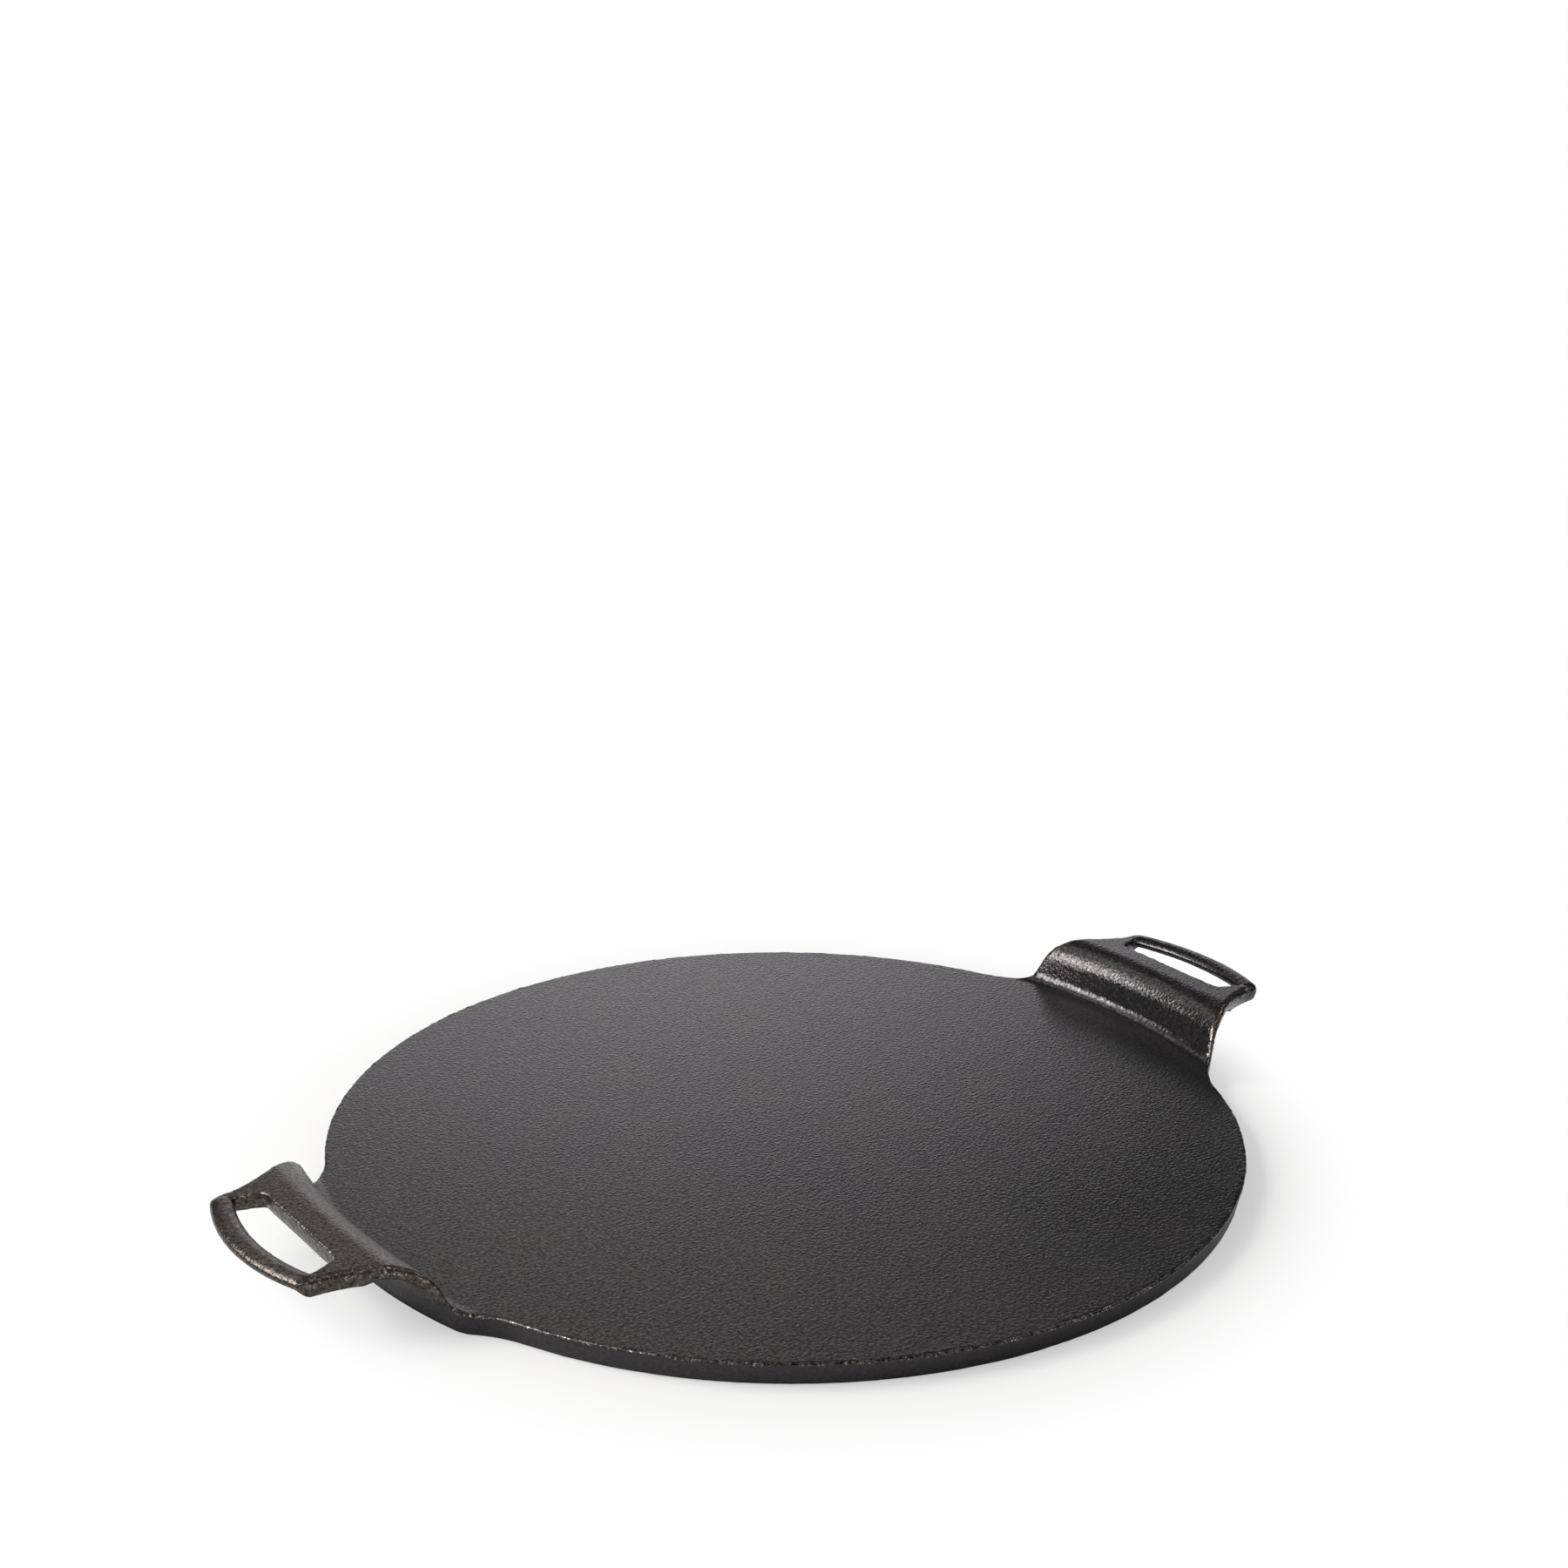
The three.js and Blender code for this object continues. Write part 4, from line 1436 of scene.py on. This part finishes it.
class ShaderTree:
    """A node tree that is filled by calls.

    A Mix node's sockets for colours are told by their places, because their names repeat.
    """

    MIX_FACTOR, MIX_FIRST, MIX_SECOND, MIX_RESULT = 0, 6, 7, 2

    def __init__(self, tree: bpy.types.NodeTree) -> None:
        """Empties the tree, which is a material's or the world's own."""
        self.tree = tree
        self.tree.nodes.clear()

    def node(self, kind: str, settings: dict[str, object] | None = None,
             inputs: dict[str | int, object] | None = None) -> bpy.types.Node:
        """Adds a node.

        Args:
            kind: its type.
            settings: its properties, which are set first.
            inputs: values or links for its sockets.

        Returns:
            The node.
        """
        made = self.tree.nodes.new(kind)
        for name, setting in (settings or {}).items():
            setattr(made, name, setting)
        for name, value in (inputs or {}).items():
            socket = made.inputs[name]
            if isinstance(value, Value):
                self.tree.links.new(value.socket, socket)
            elif isinstance(value, tuple) and socket.type == "RGBA":
                socket.default_value = (*value, 1.0)
            else:
                socket.default_value = value
        return made

    def value(self, kind: str, output: str | int, settings: dict[str, object] | None = None,
              inputs: dict[str | int, object] | None = None) -> Value:
        """Returns one output of a new node."""
        return Value(self, self.node(kind, settings, inputs).outputs[output])

    def maths(self, operation: str, first: Operand, second: Operand) -> Value:
        """Returns a sum on two numbers."""
        return self.value("ShaderNodeMath", 0, {"operation": operation}, {0: first, 1: second})

    def dot(self, first: Value, second: tuple[float, float, float]) -> Value:
        """Returns how far a vector reaches along a direction."""
        return self.value("ShaderNodeVectorMath", "Value", {"operation": "DOT_PRODUCT"},
                          {0: first, 1: second})

    def upward(self, vector: Value) -> Value:
        """Returns a vector's Z."""
        return self.value("ShaderNodeSeparateXYZ", "Z", {}, {0: vector})

    def blend(self, factor: Operand, first: Value | Colour, second: Value | Colour) -> Value:
        """Returns the first colour at 0, the second at 1."""
        return self.value("ShaderNodeMix", self.MIX_RESULT, {"data_type": "RGBA"}, {
            self.MIX_FACTOR: factor, self.MIX_FIRST: first, self.MIX_SECOND: second})

    def noise(self, place: Value, clouds: Clouds) -> Value:
        """Returns a cloudy pattern from 0 to 1."""
        return self.value("ShaderNodeTexNoise", "Fac", {}, {
            "Vector": place, "Scale": 1 / clouds.size, "Detail": clouds.detail,
            "Roughness": clouds.roughness})

    def seen(self) -> Value:
        """Tells the rays that show the white surroundings.

        Returns:
            1 for rays that come from the lens, from metal or through glass, 0 for all others.
        """
        light_path = self.node("ShaderNodeLightPath")
        camera, glossy, transmission = (
            Value(self, light_path.outputs[name])
            for name in ("Is Camera Ray", "Is Glossy Ray", "Is Transmission Ray"))
        return camera.at_least(glossy).at_least(transmission)


@dataclass
class SkinMasks:
    """What varies over the casting's skin, each from 0 to 1.

    Args:
        wear: how ragged the casting is.
        grain: the sand's finest grain.
        pebble: the pebbles.
        bumps: the two together.
        patch: wide patches.
        mottle: small patches.
        dry: where the oil has gone.
        held: what belongs to a handle.
        wall: the rim's wall.
        below: what faces down, whose colour gets a painted shade.
        ragged: a handle's ragged edges.
        rubbed: specks that are rubbed bare.
        pit: the pits.
    """

    wear: Value
    grain: Value
    pebble: Value
    bumps: Value
    patch: Value
    mottle: Value
    dry: Value
    held: Value
    wall: Value
    below: Value
    ragged: Value
    rubbed: Value
    pit: Value


@dataclass(frozen=True)
class SeasonedIron:
    """Sand-cast grey iron under baked oil: dark, satin and pebbled.

    Lengths are in metres. A span holds the levels at which a mask is 0 and 1.

    Args:
        oiled: colour of the baked oil.
        brown: colour where the oil is thin and old.
        hollow: colour between the pebbles, and the dark that the painted shade on faces that look down goes
            to.
        tip: colour on the pebbles' tips.
        ragged_tip: their colour where the casting is ragged.
        bare: colour on rubbed edges.
        grain: the sand's finest grain.
        grain_height: its height.
        pebble: the pebbles.
        pebble_height: their height.
        pebble_share: their share in the bumps that are coloured, where the rest is grain.
        patch: wide patches.
        mottle: small patches.
        handle_coarseness: how much higher grain and pebbles are on the handles.
        coarse_span: raggedness over which they get so.
        wall_smoothness: how much lower they are on the rim's wall.
        pit_spacing: mean distance between the places of pits.
        pit_depth: a pit's depth.
        pit_span: its rim and its floor, as shares of the spacing.
        pit_choice: the chance numbers over which a place gets a pit.
        dry_way: direction across the pan in which the oil gets thinner.
        dry_span: places along it where it starts to and where most of it has gone.
        dry_wander: how far the patches shift that.
        held_span: heights over which the casting turns into a handle.
        wall_span: how far a face looks up where it still is top, and where it is the rim's wall.
        below_span: how far a face looks up where it doesn't yet count as facing down, and where it wholly
            does; those faces get a painted shade and a rougher skin.
        ragged_span: raggedness over which a handle's edges take their own looks.
        rubbed_span: raggedness over which an edge is rubbed.
        rubbed_mottle: levels of the small patches over which it is.
        rubbed_grain: levels of the grain over which it is.
        rubbed_pebble: levels of the pebbles over which it is.
        dry_brown: how brown the dry side is.
        held_brown: how much browner the handles are there.
        patch_brown: how brown the wide patches are.
        patch_span: their levels over which they are.
        ragged_brown: how brown ragged edges are.
        underside_shade: how strongly what faces down is darkened, a painted shade under the casting.
        relief: how strongly hollows and tips are coloured on the oiled side.
        dry_relief: how much stronger they are on the dry side.
        wall_relief: how much weaker they are on the rim's wall.
        ragged_relief: how much weaker the hollows are on ragged edges.
        hollow_span: levels of the bumps over which a hollow is coloured.
        tip_span: levels of the bumps over which a tip is.
        metallic: how much of the iron shows through the oil.
        gloss: roughness of the evenly oiled skin.
        matt: roughness that the patches and hollows are drawn towards.
        mottle_matt: how far the small patches are.
        mottle_span: their levels over which they are.
        hollow_matt: how far the hollows are.
        matt_span: levels of the bumps over which they are.
        dry_matt: how much rougher the dry side is.
        held_polish: how much less so the handles are.
        underside_matt: how much rougher the faces that look down are.
    """

    oiled: Colour = (0.040, 0.0375, 0.041)
    brown: Colour = (0.064, 0.053, 0.044)
    hollow: Colour = (0.003, 0.003, 0.003)
    tip: Colour = (0.105, 0.096, 0.088)
    ragged_tip: Colour = (0.165, 0.152, 0.138)
    bare: Colour = (0.42, 0.38, 0.34)

    grain: Clouds = Clouds(0.0006, 1.0)
    grain_height: float = 0.00002
    pebble: Clouds = Clouds(0.0014, 2.0, 0.6)
    pebble_height: float = 0.00018
    pebble_share: float = 0.7
    patch: Clouds = Clouds(0.03, 3.0, 0.6)
    mottle: Clouds = Clouds(0.005)
    handle_coarseness: float = 0.2
    coarse_span: Span = (0.05, 0.25)
    wall_smoothness: float = 0.65
    pit_spacing: float = 0.009
    pit_depth: float = 0.00025
    pit_span: Span = (0.085, 0.03)
    pit_choice: Span = (0.62, 0.8)

    dry_way: tuple[float, float, float] = (-0.8, -0.6, 0.0)
    dry_span: Span = (0.0, 0.19)
    dry_wander: float = 0.15
    held_span: Span = (0.012, 0.0168)
    wall_span: Span = (0.4, 0.15)
    below_span: Span = (-0.2, -0.6)
    ragged_span: Span = (0.2, 0.8)
    rubbed_span: Span = (0.75, 1.0)
    rubbed_mottle: Span = (0.32, 0.58)
    rubbed_grain: Span = (0.5, 0.62)
    rubbed_pebble: Span = (0.45, 0.6)

    dry_brown: float = 0.35
    held_brown: float = 0.5
    patch_brown: float = 0.2
    patch_span: Span = (0.45, 0.7)
    ragged_brown: float = 0.4
    underside_shade: float = 0.4
    relief: float = 0.7
    dry_relief: float = 0.3
    wall_relief: float = 0.8
    ragged_relief: float = 0.6
    hollow_span: Span = (0.5, 0.36)
    tip_span: Span = (0.5, 0.66)

    metallic: float = 0.85
    gloss: float = 0.13
    matt: float = 0.32
    mottle_matt: float = 0.2
    mottle_span: Span = (0.3, 0.7)
    hollow_matt: float = 0.25
    matt_span: Span = (0.6, 0.4)
    dry_matt: float = 0.16
    held_polish: float = 0.08
    underside_matt: float = 0.6

    def build(self) -> bpy.types.Material:
        """Builds the finish.

        Returns:
            The material.
        """
        material = bpy.data.materials.new("seasoned_iron")
        material.use_nodes = True
        tree = ShaderTree(material.node_tree)
        masks = self.masks(tree)
        bump = tree.value("ShaderNodeBump", "Normal", {}, {
            "Height": self.height(masks), "Strength": 1.0, "Distance": 1.0})
        shader = tree.value("ShaderNodeBsdfPrincipled", "BSDF", {}, {
            "Base Color": self.colour(tree, masks),
            "Metallic": self.metallic + (1 - self.metallic) * masks.rubbed,
            "Roughness": self.roughness(masks), "Normal": bump})
        tree.node("ShaderNodeOutputMaterial", {}, {"Surface": shader})
        return material

    def masks(self, tree: ShaderTree) -> SkinMasks:
        """Works out what varies over the skin.

        Args:
            tree: the material's nodes.

        Returns:
            The masks.
        """
        place = tree.value("ShaderNodeTexCoord", "Object")
        upward = tree.upward(tree.value("ShaderNodeNewGeometry", "Normal"))
        wear = tree.value("ShaderNodeAttribute", "Fac", {"attribute_name": WEAR})
        grain = tree.noise(place, self.grain)
        pebble = tree.noise(place, self.pebble)
        patch = tree.noise(place, self.patch)
        mottle = tree.noise(place, self.mottle)
        held = tree.upward(place).ramp(*self.held_span)
        along = tree.dot(place, self.dry_way) + (patch - 0.5) * self.dry_wander
        speck = grain.ramp(*self.rubbed_grain) * pebble.ramp(*self.rubbed_pebble)
        return SkinMasks(
            wear=wear, grain=grain, pebble=pebble, patch=patch, mottle=mottle, held=held,
            bumps=pebble * self.pebble_share + grain * (1 - self.pebble_share),
            dry=along.ramp(*self.dry_span),
            wall=upward.ramp(*self.wall_span) * (1 - held),
            below=upward.ramp(*self.below_span),
            ragged=wear.ramp(*self.ragged_span) * held,
            rubbed=wear.ramp(*self.rubbed_span) * mottle.ramp(*self.rubbed_mottle) * speck,
            pit=self.pits(tree, place))

    def pits(self, tree: ShaderTree, place: Value) -> Value:
        """Scatters a few pits.

        Args:
            tree: the material's nodes.
            place: the point on the casting.

        Returns:
            The pits' mask.
        """
        cells = tree.node("ShaderNodeTexVoronoi", {}, {"Vector": place, "Scale": 1 / self.pit_spacing})
        chance = tree.value("ShaderNodeSeparateColor", 0, {}, {0: Value(tree, cells.outputs["Color"])})
        return Value(tree, cells.outputs["Distance"]).ramp(*self.pit_span) * chance.ramp(*self.pit_choice)

    def colour(self, tree: ShaderTree, masks: SkinMasks) -> Value:
        """Mixes the skin's colour, with a painted shade on the faces that look down.

        Args:
            tree: the material's nodes.
            masks: what varies over the skin.

        Returns:
            The colour.
        """
        browned = (masks.dry * (self.dry_brown + masks.held * self.held_brown)
                   + masks.patch.ramp(*self.patch_span) * self.patch_brown
                   + masks.ragged * self.ragged_brown) * (1 - masks.wall)
        relief = (self.relief + self.dry_relief * masks.dry) * (1 - self.wall_relief * masks.wall)
        hollows = masks.bumps.ramp(*self.hollow_span) * relief * (1 - self.ragged_relief * masks.ragged)
        tips = masks.bumps.ramp(*self.tip_span) * relief
        skin = tree.blend(browned, self.oiled, self.brown)
        # Painted shade: faces that look down are darkened towards the hollows' colour, standing in for the
        # shade under the casting.
        skin = tree.blend(masks.below * self.underside_shade, skin, self.hollow)
        skin = tree.blend(hollows, skin, self.hollow)
        skin = tree.blend(tips, skin, tree.blend(masks.ragged, self.tip, self.ragged_tip))
        return tree.blend(masks.rubbed, skin, self.bare)

    def roughness(self, masks: SkinMasks) -> Value:
        """Works out how matt the skin is.

        Args:
            masks: what varies over the skin.

        Returns:
            The roughness.
        """
        drawn = (masks.mottle.ramp(*self.mottle_span) * self.mottle_matt
                 + masks.bumps.ramp(*self.matt_span) * self.hollow_matt)
        dried = masks.dry * (self.dry_matt - self.held_polish * masks.held)
        return self.gloss + (self.matt - self.gloss) * drawn + dried + masks.below * self.underside_matt

    def height(self, masks: SkinMasks) -> Value:
        """Works out the skin's relief.

        Args:
            masks: what varies over the skin.

        Returns:
            Its height in metres.
        """
        coarse = (1.0 + self.handle_coarseness * masks.wear.ramp(*self.coarse_span) * masks.held
                  - self.wall_smoothness * masks.wall)
        relief = masks.grain * self.grain_height + masks.pebble * self.pebble_height
        return relief * coarse - masks.pit * self.pit_depth


@dataclass(frozen=True)
class Lamp:
    """A soft square lamp that looks at the pan.

    Args:
        name: what it is called.
        azimuth: degrees from +X to the lamp, in plan.
        elevation: degrees that it stands above the floor.
        distance: how far it is from the pan's middle.
        width: its width.
        height: its height.
        power: watts.
        colour: its colour.
    """

    name: str
    azimuth: float
    elevation: float
    distance: float
    width: float
    height: float
    power: float
    colour: Colour = WHITE

    def build(self) -> None:
        """Adds the lamp."""
        data = bpy.data.lights.new(self.name, "AREA")
        data.shape = "RECTANGLE"
        data.size, data.size_y = self.width, self.height
        data.energy = self.power
        data.color = self.colour
        place = self.distance * aim(self.azimuth, self.elevation)
        lamp = bpy.data.objects.new(self.name, data)
        turn = (-place).to_track_quat("-Z", "Y")
        lamp.matrix_world = Matrix.Translation(place) @ turn.to_matrix().to_4x4()
        bpy.context.scene.collection.objects.link(lamp)


@dataclass(frozen=True)
class SoftEdge:
    """A blurred straight edge of the backdrop, bright on the left of the way along it as the pan sees it.

    Args:
        start: a direction on it, as azimuth and elevation in degrees.
        end: another one, further along.
        blur: half its width, in degrees.
    """

    start: tuple[float, float]
    end: tuple[float, float]
    blur: float

    def share(self, toward: Value) -> Value:
        """Tells on which side of the edge a direction is.

        Args:
            toward: the direction.

        Returns:
            0 outside the edge, 1 inside and an eased value between.
        """
        inward = aim(*self.end).cross(aim(*self.start)).normalized()
        inside = toward.tree.dot(toward, tuple(inward))
        blur = math.radians(self.blur)
        return inside.ramp(-blur, blur)


@dataclass(frozen=True)
class Studio:
    """A white floor and surroundings with soft lamps.

    Args:
        floor_reach: half the floor's width.
        floor_drop: how far it lies below the pan's foot, so that the two don't share a plane.
        floor_colour: the floor's colour near the pan.
        paleness: how far the floor's shadows are lifted towards white in the picture, from 0 to 1.
        white_start: distance from the middle where the floor starts to pass into plain white.
        white_end: distance where it is plain white.
        room: how bright the surroundings are.
        room_colour: their colour.
        horizon_top: how far up, as a sine, the white floor is carried on above its far edge.
        backdrop: how bright the lit backdrop behind the pan is.
        backdrop_edges: its slanted right edge, its top, its left edge and its foot.
        front_wall: how bright the pale wall before the pan is, which shows from its other sides.
        front_azimuth: where the middle of that wall stands, in degrees from +X.
        front_span: cosines of the angles from its middle where it starts and where it is whole.
        front_foot: elevation of its foot, in degrees.
        front_foot_blur: the foot's blur, as a share of that height.
        front_top: elevation of its top, in degrees.
        front_top_blur: the top's blur, as a share of that height.
        lamps: the lamps.
    """

    floor_reach: float = 12.0
    floor_drop: float = 0.0002
    floor_colour: Colour = (0.63, 0.63, 0.63)
    paleness: float = 0.5
    white_start: float = 0.192
    white_end: float = 0.24
    room: float = 0.08
    room_colour: Colour = (1.0, 0.97, 1.01)
    horizon_top: float = 0.025
    backdrop: float = 1.84
    backdrop_edges: tuple[SoftEdge, ...] = (
        SoftEdge((48.5, 22.7), (55.5, 29.5), 5.0),
        SoftEdge((45.0, 23.5), (62.0, 26.0), 8.0),
        SoftEdge((71.0, 60.0), (71.0, 0.0), 14.0),
        SoftEdge((62.0, 9.0), (45.0, 9.0), 9.0),
    )
    front_wall: float = 0.9
    front_azimuth: float = 240.0
    front_span: Span = (0.0, 0.5)
    front_foot: float = 8.0
    front_foot_blur: float = 0.5
    front_top: float = 30.0
    front_top_blur: float = 0.2
    lamps: tuple[Lamp, ...] = (
        Lamp("key_lamp", 148.0, 37.0, 2.2, 1.4, 1.25, 68.0, WARM),
        Lamp("side_lamp", 97.0, 49.0, 2.2, 1.1, 0.9, 4.0, WARM),
        Lamp("top_lamp", 250.0, 82.0, 2.0, 1.6, 1.6, 5.0),
        Lamp("left_lamp", 184.0, 44.0, 2.2, 0.7, 0.5, 9.0, WARM),
        Lamp("right_lamp", -12.0, 50.0, 2.2, 1.2, 1.2, 6.0, WARM),
    )

    def build(self) -> None:
        """Adds the floor, the surroundings and the lamps."""
        self._floor()
        self._surroundings()
        for lamp in self.lamps:
            lamp.build()
        bpy.context.scene.view_settings.view_transform = "Standard"

    def _floor(self) -> None:
        """Adds the floor, which keeps the pan's shadow, turns white further out and is clear from below."""
        signs = ((-1, -1), (1, -1), (1, 1), (-1, 1))
        corners = [(self.floor_reach * x, self.floor_reach * y, -self.floor_drop) for x, y in signs]
        mesh = bpy.data.meshes.new("floor")
        mesh.from_pydata(corners, [], [tuple(range(len(corners)))])
        material = bpy.data.materials.new("white_floor")
        material.use_nodes = True
        tree = ShaderTree(material.node_tree)
        place = tree.value("ShaderNodeTexCoord", "Object")
        away = tree.value("ShaderNodeVectorMath", "Value", {"operation": "LENGTH"}, {0: place})
        camera_ray = tree.value("ShaderNodeLightPath", "Is Camera Ray")
        far = away.ramp(self.white_start, self.white_end)
        lit = tree.value("ShaderNodeBsdfDiffuse", "BSDF", {}, {"Color": self.floor_colour})
        white = tree.value("ShaderNodeEmission", "Emission", {}, {"Color": WHITE, "Strength": 1.0})
        factor = camera_ray * (self.paleness * (1 - far)) + tree.seen() * far
        mixed = tree.value("ShaderNodeMixShader", "Shader", {}, {0: factor, 1: lit, 2: white})
        from_below = tree.value("ShaderNodeNewGeometry", "Backfacing")
        clear = tree.value("ShaderNodeBsdfTransparent", "BSDF")
        one_sided = tree.value("ShaderNodeMixShader", "Shader", {}, {0: from_below, 1: mixed, 2: clear})
        tree.node("ShaderNodeOutputMaterial", {}, {"Surface": one_sided})
        mesh.materials.append(material)
        floor = bpy.data.objects.new("floor", mesh)
        bpy.context.scene.collection.objects.link(floor)

    def _surroundings(self) -> None:
        """Adds the world: white to the camera, but to the pan a dim room with a pale backdrop and horizon."""
        world = bpy.data.worlds.new("studio")
        world.use_nodes = True
        tree = ShaderTree(world.node_tree)
        toward = tree.value("ShaderNodeTexCoord", "Generated")
        pale = math.prod(edge.share(toward) for edge in self.backdrop_edges)
        upward = tree.upward(toward)
        foot, top = math.sin(math.radians(self.front_foot)), math.sin(math.radians(self.front_top))
        foot_blur, top_blur = foot * self.front_foot_blur, top * self.front_top_blur
        front = (tree.dot(toward, tuple(aim(self.front_azimuth, 0.0))).ramp(*self.front_span)
                 * upward.ramp(foot - foot_blur, foot + foot_blur)
                 * upward.ramp(top + top_blur, top - top_blur))
        camera_ray = tree.value("ShaderNodeLightPath", "Is Camera Ray")
        white = camera_ray.at_least(tree.seen() * upward.ramp(self.horizon_top, 0.0))
        shone = self.room + (self.backdrop - self.room) * pale + self.front_wall * front
        background = tree.value("ShaderNodeBackground", "Background", {}, {
            "Color": tree.blend(white, self.room_colour, WHITE),
            "Strength": shone * (1 - white) + white})
        tree.node("ShaderNodeOutputWorld", {}, {"Surface": background})
        bpy.context.scene.world = world


def main() -> None:
    """Builds the camera, the pan and the studio."""
    logging.basicConfig(level=logging.INFO, format="%(name)s: %(message)s")
    StudioCamera().build()
    iron = SeasonedIron().build()
    for piece in Pan(PanPlan.from_frame()).build().values():
        piece.data.materials.append(iron)
    Studio().build()


if __name__ == "__main__":
    main()
